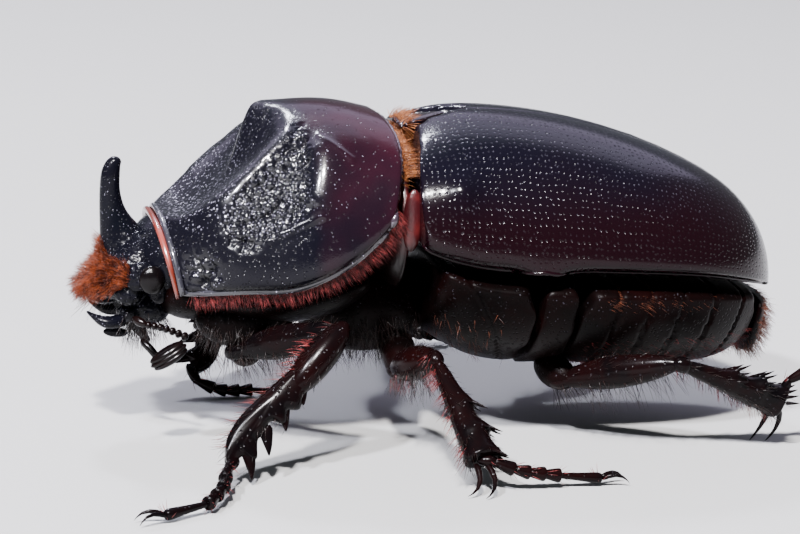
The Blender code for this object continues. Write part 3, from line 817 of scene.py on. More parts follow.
# %% Small shield and joint
scutellum = fine_copy("scutellum", 3, "scutellum_plate")
edit(scutellum)
bpy.ops.mesh.select_all(action="SELECT")
bpy.ops.transform.translate(value=(0, 0, -0.16 * MM))
bpy.ops.transform.resize(value=(1.10, 1.14, 1.0), center_override=at(2.6, 0, 18.0))
bpy.ops.object.mode_set(mode="OBJECT")
done(scutellum, cuticle, "cuticle", "scutellum")
neck = fine_copy("mesothorax", 3, "neck")
mask(neck, "plate", lambda x, y, z: hill(z, 13.4, 1.6) * rise(x, -0.5, 0.3) * rise(abs(y), 4.0, 5.5))
relief(neck, "plate", 0.18, level=0.0)
for word, side in SIDES:
    plate = ball("side_plate_" + word, (0.62, 6.7 * side, 13.7), (0.34, 0.6, 1.85), (0.03, 0, 1))
    done(plate, skin, "underside")
done(neck, skin, "underside", "mesothorax")
print("small shield and joint made")

# %% [markdown]
# ## The underside
#
# Seen from the side, the hind body is a stack of rings, each sliding a little under the next
# so that the abdomen can breathe. The borders are cut into the smooth solid as grooves.
# Eggs fill the dark spaces between the plates: one in the belly, one in the chest and, on
# each side, the swollen base of a fore leg.

# %% Shape the underside
RING_BORDERS = ((12.6, 0.10), (14.5, 0.12), (16.6, 0.14), (18.8, 0.18), (21.0, 0.24))     # place and lean
for node in ("prosternum", "metathorax", "abdomen", "pygidium", "hind_coxa_left", "hind_coxa_right"):
    plate = fine_copy(node, 3 if node in ("metathorax", "abdomen") else 2, node + "_plate")
    if node == "abdomen":
        for x, lean in RING_BORDERS:
            groove(plate, (x, 0, 6), (1, 0, -lean), 0.30, 0.16)
        smooth(plate)
    if node == "metathorax":
        groove(plate, (6.2, 0, 6), (1, 0, 0.55), 0.26, 0.14)
    done(plate, belly_shell, "underside", node)
belly_core = ball("belly_core", (9.8, 0, 8.7), (3.4, 7.9, 4.1))
done(belly_core, belly_shell, "underside")
chest_core = ball("chest_core", (-0.9, 0, 7.7), (4.3, 4.9, 3.2))
done(chest_core, belly_shell, "underside")
for word, side in SIDES:
    base = settle(ball("fore_base_" + word, (-8.6, 3.5 * side, 7.3), (2.9, 2.0, 1.7), None, 36, 22))
    done(base, belly_shell, "underside")
print("underside plates made")

# %% [markdown]
# ## The head and horn
#
# The head carries one upright horn that grows out of it without a seam, two small upturned
# lobes at the very front, and on each side a blade of shell, the canthus, that cuts a little
# way across the eye.
#
# The horn's foot is first drawn down into the head and the small forms are added as simple
# bodies. A voxel remesh then fuses them into one skin and a Smooth modifier softens the
# joints, as a sculptor blends clay. This suits a shape that swells in all directions, where
# single faces would be hard to place. The remesh can leave stray bubbles inside, so only what
# hangs together with the horn's tip is kept.

# %% Draw out the end of a solid
def pull_cap(piece, keep, move, scale):
    """Moves and resizes the faces whose centres keep() accepts, in millimetres."""
    unselect(piece)
    chosen = [f for f in piece.data.polygons if keep(*((f.center - ORIGIN) / MM))]
    for face in chosen:
        face.select = True
    middle = sum((f.center for f in chosen), Vector()) / len(chosen)
    way = Vector(move) * MM
    bpy.ops.object.mode_set(mode="EDIT")
    bpy.ops.transform.translate(value=way)
    bpy.ops.transform.resize(value=scale, center_override=middle + way)
    bpy.ops.object.mode_set(mode="OBJECT")


# %% Fuse the head and the horn
horn = fine_copy("horn", 0, "horn_body")
pull_cap(horn, lambda x, y, z: z < 12.0 and x < -15.2, (0.15, 0, -1.0), (1.25, 1.3, 1.0))
smooth(horn, 2)
head = fine_copy("head", 3, "head_body")
parts = [head, horn]
parts.append(ball("horn_tip", (-15.93, 0, 16.12), (0.42, 0.42, 0.36), segments=16))
parts.append(ball("brow", (-15.2, 0, 11.7), (1.15, 1.0, 0.6), (0.5, 0, 1)))
parts.append(ball("throat", (-13.9, 0, 7.7), (1.5, 2.6, 1.35)))
parts.append(ball("labrum", (-16.5, 0, 8.15), (1.15, 1.5, 0.5), None))
for word, side in SIDES:
    parts.append(ball("lobe", (-17.6, 0.75 * side, 8.75), (0.42, 0.5, 0.22), (0.5, 0, 1)))
    parts.append(ball("canthus", (-14.75, 3.25 * side, 9.9), (0.42, 0.80, 0.95), (0.6, 0.1 * side, 0.8)))
    parts.append(ball("cheek", (-15.3, 2.3 * side, 8.7), (0.9, 0.75, 0.85), (1, 0, 0)))
    parts.append(ball("temple", (-13.6, 2.8 * side, 9.2), (0.7, 0.6, 1.1), (0, 0, 1)))
    parts.append(ball("jaw_seat", (-15.0, 1.5 * side, 7.35), (0.75, 0.6, 0.9), (1, 0, 0)))
head = join(parts, "head_and_horn")
modify(head, "REMESH", mode="VOXEL", voxel_size=0.085 * MM)
fused = len(head.data.polygons)
unselect(head, "VERT")
max(head.data.vertices, key=lambda point: point.co.z).select = True
bpy.ops.object.mode_set(mode="EDIT")
bpy.ops.mesh.select_linked()
bpy.ops.mesh.select_all(action="INVERT")
bpy.ops.mesh.delete(type="VERT")
bpy.ops.object.mode_set(mode="OBJECT")
print("stray faces removed:", fused - len(head.data.polygons))
modify(head, "SMOOTH", factor=0.5, iterations=9)
mask(head, "pitted", lambda x, y, z: (
    rise(-x, 14.0, 14.9) * rise(12.2 - z, 0.0, 1.2) * rise(abs(y), 0.4, 1.1)))
relief(head, "pitted", 0.12, pattern("pores", "VORONOI", 0.26), 0.4)
smooth(head)
done(head, horn_shell, "horn", "head", "horn")
print("head and horn faces:", len(head.data.polygons))

# %% [markdown]
# ## The back of the head and the lip round it
#
# The head turns in the shield's opening on a smooth knob, the occiput, and a broad plate, the
# gula, closes the throat under it. Soft skin joins the head to the shield. Its outer edge
# shows as a bright red lip just in front of the shield's border, so it is the same kind of
# arch as the bead there.

# %% Occiput, gula and lip
occiput = settle(ball("occiput", (-12.7, 0, 10.45), (2.45, 3.9, 2.74), None, 48, 32))
done(occiput, horn_shell, "horn")
gula = settle(ball("gula", (-11.6, 0, 8.7), (2.3, 4.7, 1.9), None, 40, 24))
done(gula, belly_shell, "underside")
lip = cord_along("neck_lip", arch((-12.82, 5.23, 9.0), (-13.78, 0, 13.05), 2.6, 8), 0.20, 0.6)
done(lip, lip_skin, "underside")
print("occiput, gula and lip made")

# %% [markdown]
# ## Eyes, jaws and feelers
#
# The eyes are low domes of many tiny lenses. The jaws are short curved blades whose tips
# turn up in front of the face. The feelers are strings of beads that end in a club of three
# plates, which the beetle opens like a fan to smell the air and here holds shut.

# %% Eyes, jaws and mouth
for word, side in SIDES:
    eye = fine_copy("eye_" + word, 3, "eyeball_" + word)
    done(eye, eye_gloss, "eye", "eye_" + word)
    jaw = fine_copy("mandible_" + word, 0, "jaw_" + word)
    tip = -17.25 + 0.2 * (side + 1)     # the right jaw is the shorter one
    pull_cap(jaw, lambda x, y, z: x < tip, (0, 0, 0.16), (0.3, 0.25, 0.3))
    smooth(jaw, 3)
    tooth = ball("tooth", (-15.95, 1.45 * side, 6.15), (0.2, 0.3, 0.75), (-1, 0.1 * side, 0.12))
    jaw = join([jaw, tooth], "jaw_" + word)
    done(jaw, horn_shell, "horn", "mandible_" + word)
    palp = fine_copy("palp_" + word, 2, "palp_shell_" + word)
    done(palp, feeler_shell, "antenna", "palp_" + word)
mouth = fine_copy("mouthparts", 2, "mouth_floor")
done(mouth, leg_shell, "leg", "mouthparts")
print("eyes, jaws and mouth made")

# %% Feelers
for word, side in SIDES:
    beads = [ball("bead", (-14.75, 3.1 * side, 7.15), (0.26, 0.28, 0.55), (1, side, -0.4))]
    start, end = Vector((-14.25, 3.4 * side, 7.0)), Vector((-12.35, 5.0 * side, 6.67))
    for k in range(7):
        place = start.lerp(end, k / 6) + Vector((0, 0, 0.10 * sin(pi * k / 6)))
        size = 0.21 + 0.012 * k
        beads.append(ball("bead", place, (size, size, 0.19), end - start, 14, 8))
    feeler = join(beads, "feeler_" + word)
    done(feeler, feeler_shell, "antenna", "antenna_" + word)
    root, tip = Vector((-12.3, 5.72 * side, 6.4)), Vector((-14.35, 5.7 * side, 5.1))
    along = (tip - root).normalized()
    stack = along.cross(Vector((0, 1, 0))).normalized()
    plates = []
    for k in (-1, 0, 1):
        middle = root.lerp(tip, 0.52) + stack * (0.24 * k)
        plate = ball("plate", middle, (0.29, 0.58, 1.22 - 0.10 * abs(k)), None, 24, 16)
        plate.rotation_euler = Matrix((stack, Vector((0, 1, 0)), along)).transposed().to_euler()
        plates.append(settle(plate))
    club = join(plates, "feeler_club_" + word)
    done(club, feeler_shell, "antenna", "antenna_club_" + word)
print("feelers made")

# %% [markdown]
# ## The legs
#
# Each leg is a chain: hip (coxa), a small ring (trochanter), thigh (femur), shin (tibia), then
# five small foot joints (tarsus) and two claws. The plans below give each leg's joints in
# millimetres, in the same pose as the solids.

# %% Plans of the six legs
LEGS = {
    # hip, knee, ankle, then the foot's path and the way its claws point
    "fore_left": ((-8.9, -4.7, 5.7), (-4.1, -9.5, 7.9), (-10.5, -12.6, 1.35),
                  [(-11.1, -13.6, 1.3), (-11.8, -16.2, 0.85), (-13.1, -18.0, 0.5), (-15.3, -18.8, 0.42)],
                  (-1, -0.2, 0)),
    "fore_right": ((-7.8, 4.5, 5.7), (-6.5, 11.6, 8.4), (-10.3, 6.6, 1.75),
                   [(-9.9, 5.9, 1.05), (-8.5, 5.6, 0.42), (-6.4, 5.6, 0.45), (-5.2, 3.7, 0.7)],
                   (0.25, -1, -0.1)),
    "mid_left": ((0.4, -5.9, 4.7), (1.5, -9.5, 6.2), (2.9, -15.4, 1.75),
                 [(3.5, -15.6, 1.75), (5.0, -15.8, 1.15), (7.7, -15.5, 0.7), (10.0, -15.4, 0.45)],
                 (1, 0.05, 0)),
    "mid_right": ((0.4, 5.9, 4.7), (2.0, 10.3, 6.3), (5.0, 15.6, 1.6),
                  [(5.6, 16.1, 1.5), (7.1, 17.0, 1.0), (9.4, 17.8, 0.6), (11.6, 18.2, 0.45)],
                  (1, 0.1, 0)),
    "hind_left": ((10.7, -6.0, 3.75), (16.3, -10.2, 5.6), (23.0, -9.3, 2.75),
                  [(23.5, -9.5, 4.2), (25.1, -9.9, 5.2), (27.5, -10.5, 4.2), (30.2, -10.9, 1.0)],
                  (0.8, -0.1, -0.5)),
    "hind_right": ((10.7, 6.0, 3.75), (16.3, 10.4, 5.5), (21.5, 14.6, 1.7),
                   [(22.2, 15.1, 1.5), (24.0, 16.1, 1.0), (26.0, 16.9, 0.55), (28.2, 17.5, 0.45)],
                   (1, 0.2, 0)),
}
print("legs planned:", len(LEGS))

# %% [markdown]
# ## Patterns for the small leg parts
#
# A foot joint, a spine and a claw each repeat many times, so each is modelled once at unit
# size. Every pattern starts as a filled circle that is extruded upward step by step and
# resized at each step, the quickest way to a round, tapering form. Spines and claws bend as
# they rise; a copy's bend grows with its length, and its thickness with its width.

# %% Grow a pattern from a circle
def grow(name, steps, sides):
    """A round form through steps of (height, offset, radius), closed at both ends."""
    clear()
    height, offset, radius = steps[0]
    bpy.ops.mesh.primitive_circle_add(vertices=sides, radius=radius, fill_type="NGON",
                                      location=(offset, 0, height))
    piece = bpy.context.object
    piece.name = name
    bpy.ops.object.mode_set(mode="EDIT")
    bpy.ops.mesh.select_all(action="SELECT")
    for (h0, o0, r0), (h1, o1, r1) in zip(steps, steps[1:]):
        bpy.ops.mesh.extrude_region_move(TRANSFORM_OT_translate={"value": (o1 - o0, 0, h1 - h0)})
        bpy.ops.transform.resize(value=(r1 / r0, r1 / r0, r1 / r0), center_override=(o1, 0, h1))
    bpy.ops.mesh.select_all(action="SELECT")
    bpy.ops.mesh.normals_make_consistent(inside=False)
    bpy.ops.object.mode_set(mode="OBJECT")
    settle(piece)
    smooth(piece, 1)
    return piece


SIDES_OF = {"joint": 10, "toe": 10, "spine": 6, "claw": 8}
STEPS = {
    # height, offset and radius of each step
    "joint": [(0, 0, 0.46), (0.06, 0, 0.62), (0.45, 0, 0.80), (0.82, 0, 1.0), (0.96, 0, 1.04),
              (1.0, 0, 0.75)],
    "toe": [(0, 0, 0.42), (0.06, 0, 0.55), (0.5, 0, 0.68), (0.86, 0, 0.98), (0.96, 0, 0.95), (1.0, 0, 0.6)],
    "spine": [(0, 0, 1.0), (0.35, 0.04, 0.8), (0.75, 0.12, 0.42), (1.0, 0.2, 0.06)],
    "claw": [(0, 0, 1.0), (0.25, 0.10, 0.92), (0.5, 0.14, 0.74), (0.75, 0.08, 0.52), (0.92, -0.06, 0.28),
             (1.0, -0.18, 0.07)],
}
PATTERNS = {kind: grow(kind + "_pattern", steps, SIDES_OF[kind]) for kind, steps in STEPS.items()}
for item in PATTERNS.values():
    item.hide_render = True
print("patterns made:", *PATTERNS)


# %% Lay a pattern between two places
def middle_of(kind, height):
    """The offset of a pattern's core at a height."""
    steps = STEPS[kind]
    for (h0, o0, r0), (h1, o1, r1) in zip(steps, steps[1:]):
        if height <= h1:
            return o0 + (o1 - o0) * max(height - h0, 0) / (h1 - h0)
    return steps[-1][1]


def put(kind, start, end, width, down=(0, 0, -1), flat=1.0):
    """A copy of a pattern from start to end, its offset side toward -down."""
    start, end = at(*start), at(*end)
    axis = end - start
    length = axis.length
    axis.normalize()
    side = (Vector(down) - axis * axis.dot(Vector(down))).normalized()
    across = side.cross(axis)
    piece = PATTERNS[kind].copy()
    piece.data = piece.data.copy()
    piece.hide_render = False
    bpy.context.scene.collection.objects.link(piece)
    wide = width * MM
    for point in piece.data.vertices:
        x, y, z = point.co
        middle = middle_of(kind, z)
        over = (x - middle) * wide + middle * length
        point.co = start + axis * (z * length) - side * over + across * (y * wide * flat)
        point.co.z = max(point.co.z, 0.0)     # a foot is flat where it meets the floor
    return piece


# %% [markdown]
# ## Thighs, shins and hips
#
# A thigh and a shin are finer copies of their solids. The solids stop short of each joint, so
# their end caps are drawn out until they meet, and an egg in each joint makes the hinge. The
# hips reach back to their sockets in the chest with an egg each.

# %% Draw the ends of a copied solid together
CAP_REACH = 0.3     # faces up to this much farther off than the nearest one belong to the end cap


def reach(piece, place, move, scale):
    """Moves and resizes the end cap nearest a place."""
    centres = [((f.center - ORIGIN) / MM - place).length for f in piece.data.polygons]
    limit = min(centres) + CAP_REACH
    pull_cap(piece, lambda x, y, z: (Vector((x, y, z)) - place).length < limit, move, (scale,) * 3)


def path_point(path, share):
    """A place along the foot's path, by share of its length."""
    points = [Vector(p) for p in path]
    spans = [(b - a).length for a, b in zip(points, points[1:])]
    left = share * sum(spans)
    for start, end, span in zip(points, points[1:], spans):
        if left <= span:
            return start.lerp(end, left / span)
        left -= span
    return points[-1]


# %% Thighs and shins
for leg, plan in LEGS.items():
    hip, knee, ankle = (Vector(place) for place in plan[:3])
    thigh, shin = (knee - hip).normalized(), (ankle - knee).normalized()
    femur = fine_copy(leg + "_femur", 0, leg + "_thigh")
    reach(femur, knee - thigh * 0.35, thigh * 0.35, 0.9)
    reach(femur, hip, thigh * -0.35, 1.25)
    smooth(femur, 3)
    swell = [femur, ball("trochanter", hip - thigh * 0.30, (0.62, 0.58, 0.95), thigh, 24, 14)]
    if leg.startswith("mid"):
        swell.append(ball("swell", hip.lerp(knee, 0.42), (1.05, 1.0, 2.35), thigh, 32, 20))
    femur = join(swell, leg + "_thigh")
    done(femur, leg_shell, "leg", leg + "_femur")
    tibia = fine_copy(leg + "_tibia", 0, leg + "_shin")
    reach(tibia, knee + shin * 0.85, shin * -0.75, 1.0)
    smooth(tibia, 3)
    swell = [tibia, ball("hinge", knee + shin * 0.15, (0.5, 0.5, 0.62), shin, 20, 12)]
    if leg.startswith("fore"):
        swell.append(ball("swell", knee + shin * 2.1, (1.0, 0.95, 2.75), shin, 32, 20))
    tibia = join(swell, leg + "_shin")
    done(tibia, leg_shell, "leg", leg + "_tibia")
print("thighs and shins made")

# %% Hips
SOCKETS = {"fore": (-8.1, 2.5, 5.3), "mid": (0.9, 2.1, 5.7), "hind": (9.4, 3.6, 4.5)}
for word, side in SIDES:
    for place, (x, y, z) in SOCKETS.items():
        hip = Vector(LEGS[f"{place}_{word}"][0])
        root = Vector((x, y * side, z))
        along = hip - root
        lobe = ball(f"{place}_socket_{word}", root.lerp(hip, 0.62), (0.95, 1.05, along.length * 0.56), along,
                    28, 18)
        if place == "hind":
            done(lobe, belly_shell, "underside")
        else:
            hip_piece = fine_copy(f"{place}_coxa_{word}", 3, f"{place}_hip_{word}")
            hip_piece = join([hip_piece, lobe], f"{place}_hip_{word}")
            done(hip_piece, belly_shell, "underside", f"{place}_coxa_{word}")
print("hips made")

# %% [markdown]
# ## Feet and claws
#
# A beetle's foot is five joints in a row. The first four are short and flare toward their
# end; the last is long and carries the claws. Each is a copy of the joint pattern, laid
# along the foot's path.

# %% Feet and claws
FOOT_JOINTS = [("joint", 0.0, 0.20, 0.44), ("joint", 0.19, 0.34, 0.44), ("joint", 0.33, 0.48, 0.44),
               ("joint", 0.47, 0.62, 0.44), ("toe", 0.61, 1.0, 0.36)]     # kind, start, end and width
CLAW_FLOOR = 0.16     # a claw's tip stays this far above the floor, in millimetres
for leg, (hip, knee, ankle, path, heading) in LEGS.items():
    bridge = Vector(path[0]) - Vector(ankle)
    radii = (0.34, 0.34, bridge.length / 2 + 0.3)
    joints = [ball("ankle", Vector(ankle) + bridge / 2, radii, bridge, 16, 12)]
    for kind, start, end, width in FOOT_JOINTS:
        joints.append(put(kind, path_point(path, start), path_point(path, end), width))
    foot = join(joints, leg + "_foot")
    done(foot, leg_shell, "leg", leg + "_tarsus")
    tip, heading = Vector(path[-1]), Vector(heading).normalized()
    aside = heading.cross(Vector((0, 0, 1))).normalized()
    claws = []
    for side in (-1, 1):
        point = tip + heading * 1.55 + aside * (0.48 * side)
        point.z = max(point.z, CLAW_FLOOR)
        claws.append(put("claw", tip + aside * 0.12 * side - heading * 0.05, point, 0.17))
    claws.append(put("spine", tip, tip + heading * 0.5 - Vector((0, 0, 0.1)), 0.07))
    claw = join(claws, leg + "_claw_pair")
    done(claw, leg_shell, "leg", leg + "_claws")
print("feet and claws made")

# %% [markdown]
# ## Spurs and combs of spines
#
# The fore shins carry four blunt teeth on their outer edge, for digging. The middle and hind
# shins end in two long spurs, hinged in life, and a crown of short spines. Two slanting combs
# of spines cross the outer side further up. They give the beetle its grip when it pushes
# through soft wood and soil.

# %% Where the shins' outer sides face
OUTER = {"fore_left": (0.77, -0.31, -0.56), "fore_right": (-1, 0.1, 0.3), "mid_left": (1, 0.1, 0.2),
         "mid_right": (1, 0, 0.3), "hind_left": (0.35, -0.3, 1), "hind_right": (0.3, -0.3, 1)}
SPURS = {
    # root, heading and drop of each pair
    "mid_left": ((2.75, -15.9, 0.85), (-0.1, -0.9, -0.45), 0.5),
    "mid_right": ((4.9, 16.2, 1.0), (0.1, 0.9, -0.4), 0.3),
    "hind_left": ((22.7, -8.4, 1.55), (0.15, 0.6, -0.75), 0.55),
    "hind_right": ((21.9, 14.6, 0.75), (0.9, -0.1, -0.4), 0.4),
}
# share of the shin, number of spines, width and height of two combs and the crown
COMBS = ((0.42, 5, 0.62, 1.05), (0.70, 6, 0.75, 1.35), (0.98, 7, 0.95, 1.15))
SPUR_FLOOR = 0.12     # a spur's tip stays this far above the floor, in millimetres


def leg_frame(leg):
    """The shin's start and end, its axis, its outer direction and the third direction."""
    knee, ankle = (Vector(place) for place in LEGS[leg][1:3])
    axis = (ankle - knee).normalized()
    out = Vector(OUTER[leg])
    out = (out - axis * out.dot(axis)).normalized()
    return knee + axis * 0.85, ankle, axis, out, axis.cross(out)


# %% Digging teeth of the fore shins
for leg in ("fore_left", "fore_right"):
    start, end, axis, out, side = leg_frame(leg)
    teeth = [bpy.data.objects[leg + "_shin"]]
    for share, size in ((0.33, 1.45), (0.52, 1.65), (0.70, 1.8), (0.88, 1.95)):
        foot = start.lerp(end, share) - out * 0.05
        teeth.append(put("spine", foot, foot + (out + axis * 0.62).normalized() * size, 0.58, axis * -1, 0.6))
    for tooth in teeth[1:]:
        tooth.data.materials.append(leg_shell.material)
    join(teeth, leg + "_shin")
print("digging teeth made")

# %% Spurs and combs
for leg, (root, heading, drop) in SPURS.items():
    start, end, axis, out, side = leg_frame(leg)
    heading = Vector(heading).normalized()
    aside = heading.cross(Vector((0, 0, 1))).normalized()
    base = end - axis * 0.15
    spurs = []
    for turn, size in ((-1, 1.0), (1, 0.82)):
        tip = Vector(root) + heading * (1.5 * size) + aside * (0.5 * turn)
        tip.z = max(tip.z - drop, SPUR_FLOOR)
        spurs.append(put("claw", base + aside * (0.3 * turn) + (Vector(root) - end) * 0.25, tip, 0.24, -out))
    length = (end - start).length
    for share, count, wide, tall in COMBS:
        crown = share > 0.9
        for k in range(count):
            slant = k / (count - 1) * 2 - 1
            foot = (start + axis * (length * (share - 0.03 + 0.03 * slant))
                    + out * (tall * (0.80 - 0.35 * slant * slant)) + side * (wide * slant * 0.8))
            lean = axis * 0.75 + out * (0.5 - 0.2 * abs(slant)) + side * (0.35 * slant)
            size = 1.0 if crown else 0.95 + 0.35 * (1 - abs(slant))
            spurs.append(put("spine", foot, foot + lean * size, 0.17 if crown else 0.15, -out))
    spurs = join(spurs, leg + "_spur_set")
    done(spurs, leg_shell, "leg", leg + "_spurs")
for item in PATTERNS.values():
    bpy.data.objects.remove(item)
print("spurs and combs made")

# %% [markdown]
# ## Hair
#
# Under the shell a rhinoceros beetle is unexpectedly furry. Orange hair stands in a tuft
# round the foot of the horn, a red fringe hangs below the shield, golden down fills the
# joint in front of the wing cases, and stiff bristles ring the mouth and the legs.
#
# Hair systems don't leave Blender as a mesh, so each strand is built as one: a thin,
# three-sided spike that bends along its length. All strands of a patch are computed at once
# as arrays. Each strand gets one small spot on a map of the skin that it grows from, so
# that its colour can be kept with it.

# %% Strands of hair
RINGS = 4               # rings of points in a strand below its tip
STRAND_SPOT = 0.003     # side of a strand's spot on the map
SNOUT, LENGTH, HEART = -19, 46, 10.5     # millimetres: where the map starts, its length, the axis it rolls on
FLOOR_GAP = 0.02        # millimetres between the floor and the lowest strand


def body_map(point):
    """A place on the skin rolled out round the long axis of the body."""
    x, y, z = (point - ORIGIN) / MM
    return (x - SNOUT) / LENGTH, 0.5 + atan2(y, z - HEART) / (2 * pi)


def hair(name, roots, look, seed, width=0.03, roll_out=body_map):
    """Strands from (root, direction, bend, length) rows; lengths and widths in millimetres."""
    dice = random.Random(seed)
    points, faces, spots = [], [], []
    for root, direction, bend, length in roots:
        size = length * MM
        aside = direction.orthogonal().normalized()
        aside.rotate(Matrix.Rotation(dice.random() * 2 * pi, 3, direction))
        other = direction.cross(aside).normalized()
        thick = width * MM * (0.8 + 0.4 * dice.random()) / 2
        base = len(points)
        spots.append(roll_out(root))
        for ring in range(RINGS):
            t = ring / RINGS
            middle = root + (direction * t + bend * (t * t)) * size
            for k in range(3):
                angle = 2 * pi / 3 * k
                points.append(middle + (aside * cos(angle) + other * sin(angle)) * (thick * (1 - 0.75 * t)))
        points.append(root + (direction + bend) * size)
        tip = len(points) - 1
        faces.append((base + 2, base + 1, base))
        for ring in range(RINGS - 1):
            low_ring, high_ring = base + 3 * ring, base + 3 * ring + 3
            for k in range(3):
                n = (k + 1) % 3
                faces.append((low_ring + k, low_ring + n, high_ring + n, high_ring + k))
        last = base + 3 * (RINGS - 1)
        for k in range(3):
            faces.append((last + k, last + (k + 1) % 3, tip))
    for point in points:
        point.z = max(point.z, FLOOR_GAP * MM)     # a strand bends where it meets the floor
    mesh = bpy.data.meshes.new(name)
    mesh.from_pydata(points, [], faces)
    layer = mesh.uv_layers.new(name="OFBake")
    per_strand = 3 * RINGS + 1
    for loop in mesh.loops:
        strand, inner = divmod(loop.vertex_index, per_strand)
        u, v = spots[strand]
        ring, corner = divmod(inner, 3)
        layer.data[loop.index].uv = (u + STRAND_SPOT * corner / 3, v + STRAND_SPOT * ring / RINGS)
    mesh.shade_smooth()
    piece = bpy.data.objects.new(name, mesh)
    bpy.context.scene.collection.objects.link(piece)
    done(piece, look, "hair")
    print(name, "strands:", len(roots))


# %% Hair looks
def hair_look(name, deep, bright, roughness=0.45):
    look = Look(name, deep, roughness, Specular_IOR_Level=0.28)
    look.put("Base Color", look.mix(look.noise(0.35, 3.0).step(0.3, 0.72), (*deep, 1), (*bright, 1)))
    look.put("Roughness", look.noise(0.5) * 0.25 + roughness - 0.12)
    return look


orange_hair = hair_look("orange_hair", (0.026, 0.0040, 0.0015), (0.165, 0.028, 0.0045))
red_hair = hair_look("red_hair", (0.022, 0.003, 0.004), (0.20, 0.031, 0.030), 0.28)
gold_hair = hair_look("gold_hair", (0.060, 0.014, 0.005), (0.34, 0.115, 0.036), 0.34)
brown_hair = hair_look("brown_hair", (0.016, 0.004, 0.0025), (0.13, 0.034, 0.014), 0.36)
black_hair = hair_look("dark_bristle", (0.003, 0.002, 0.002), (0.012, 0.005, 0.004), 0.30)
print("hair looks made")


# %% The lie of the hair
ROOT_DEPTH = 0.05     # millimetres that a strand starts under the skin


def comb(places, direction, bend, length, seed, spread=0.25, stand=0.0, clump=0.0):
    """Rows for hair(): directions given once or by function, with a little disorder.

    clump turns neighbouring strands alike, by a noise about a millimetre across.
    """
    dice = random.Random(seed)
    rows = []
    for point, normal in places:
        base = direction((point - ORIGIN) / MM) if callable(direction) else Vector(direction)
        jitter = Vector((dice.gauss(0, spread), dice.gauss(0, spread), dice.gauss(0, spread)))
        jitter += noise.noise_vector(point / MM * 1.6) * clump
        way = (base.normalized() + normal * stand + jitter).normalized()
        curl = Vector(bend) + jitter * 0.3
        rows.append((point - normal * (ROOT_DEPTH * MM), way, curl, length * (0.7 + 0.5 * dice.random())))
    return rows


# %% [markdown]
# ## Where the hair grows
#
# Each patch is scattered over the part of a shell that carries it. The tuft on the face
# sweeps forward, the fringe under the shield hangs down and back, and the down in the joint
# lies flat toward the tail. Short brown hair stands in patches on the flanks and fringes the
# tail, and dark hair hangs between the legs.

# %% The tuft at the foot of the horn
def on_face(p, normal):
    return (p.x < -15.35 and 8.3 < p.z < 10.6 + 1.3 * rise(-p.x, 16.2, 16.9) and abs(p.y) > 0.3
            and p.z > 8.6 + 0.55 * (p.x + 16.6))


def face_way(p):
    side = max(abs(p.y) - 0.9, 0.0)
    return Vector((-0.75, 0.6 * p.y - 0.2 * side * p.y, 0.75 * (p.z - 9.7) + 0.20 * side))


tuft = scatter(head, 4200, on_face, 11)
tuft = comb(tuft, face_way, (0.0, 0.0, -0.05), 0.80, 12, 0.14, 0.28, 0.55)
hair("face_tuft", tuft, orange_hair, 13, 0.026)

# %% Fringe below the shield
def fringe_way(p):
    back = rise(p.x, -6.0, -1.5)
    return Vector((0.18 + 0.8 * back, -0.10 * p.y / abs(p.y), -1.0))


INWARD, UPWARD = 0.2 * MM, 0.1 * MM     # the fringe grows just inside the bead
fringe = []
for point, normal in fringe_roots:
    inward = Vector((0, -INWARD if point.y > ORIGIN.y else INWARD, 0))
    fringe.append((point + inward + Vector((0, 0, UPWARD)), normal))
fringe = comb(fringe, fringe_way, (0.10, 0.0, -0.10), 1.05, 22, 0.12, 0.0, 0.25)
hair("shield_fringe", fringe, red_hair, 23, 0.034)

# %% Down in the joint before the wing cases
down = scatter(neck, 3600, lambda p, normal: (
    p.z > 15.3 + 0.5 * (p.x + 0.8) + 0.7 * noise.noise(p * 1.6) and normal.z > -0.3), 31)
down += scatter(scutellum, 260, lambda p, normal: p.x < 1.6, 32)
down = comb(down, (0.9, 0, 0.15), (0.1, 0, -0.25), 1.05, 32, 0.18, 0.95, 0.3)
hair("joint_down", down, gold_hair, 33, 0.032)

# %% Patches on the abdomen and the tail fringe
belly = bpy.data.objects["abdomen_plate"]
patch = scatter(belly, 800, lambda p, normal: abs(p.y) > 6.0 and 8.8 < p.z < 10.0 and (
    hill(p.x, 12.5, 0.5) > 0.3 or hill(p.x, 14.5, 0.6) > 0.3), 41)
patch += scatter(belly, 220, lambda p, normal: abs(p.y) > 6.0 and 8.4 < p.z < 10.0 and 9.5 < p.x < 20, 42)
patch = comb(patch, (1.0, 0, -0.35), (0.1, 0, -0.15), 0.50, 42, 0.10, 0.12, 0.15)
hair("flank_patches", patch, brown_hair, 43, 0.020)
tail = bpy.data.objects["pygidium_plate"]
tail_rim = scatter(tail, 1500, lambda p, normal: normal.x > 0.1 or p.z < 5.2, 51)
tail_rim = comb(tail_rim, (1.0, 0, -0.75), (0.0, 0, -0.25), 0.85, 52, 0.22, 0.35)
hair("tail_fringe", tail_rim, brown_hair, 53, 0.03)
rim_hair = scatter(belly, 1100, lambda p, normal: abs(p.y) > 3.0 and p.z < 6.4 and p.x > 11, 61)
rim_hair = comb(rim_hair, (1.0, 0, -0.3), (0.0, 0, -0.1), 0.5, 62, 0.2, 0.3)
hair("belly_hair", rim_hair, red_hair, 63, 0.024)

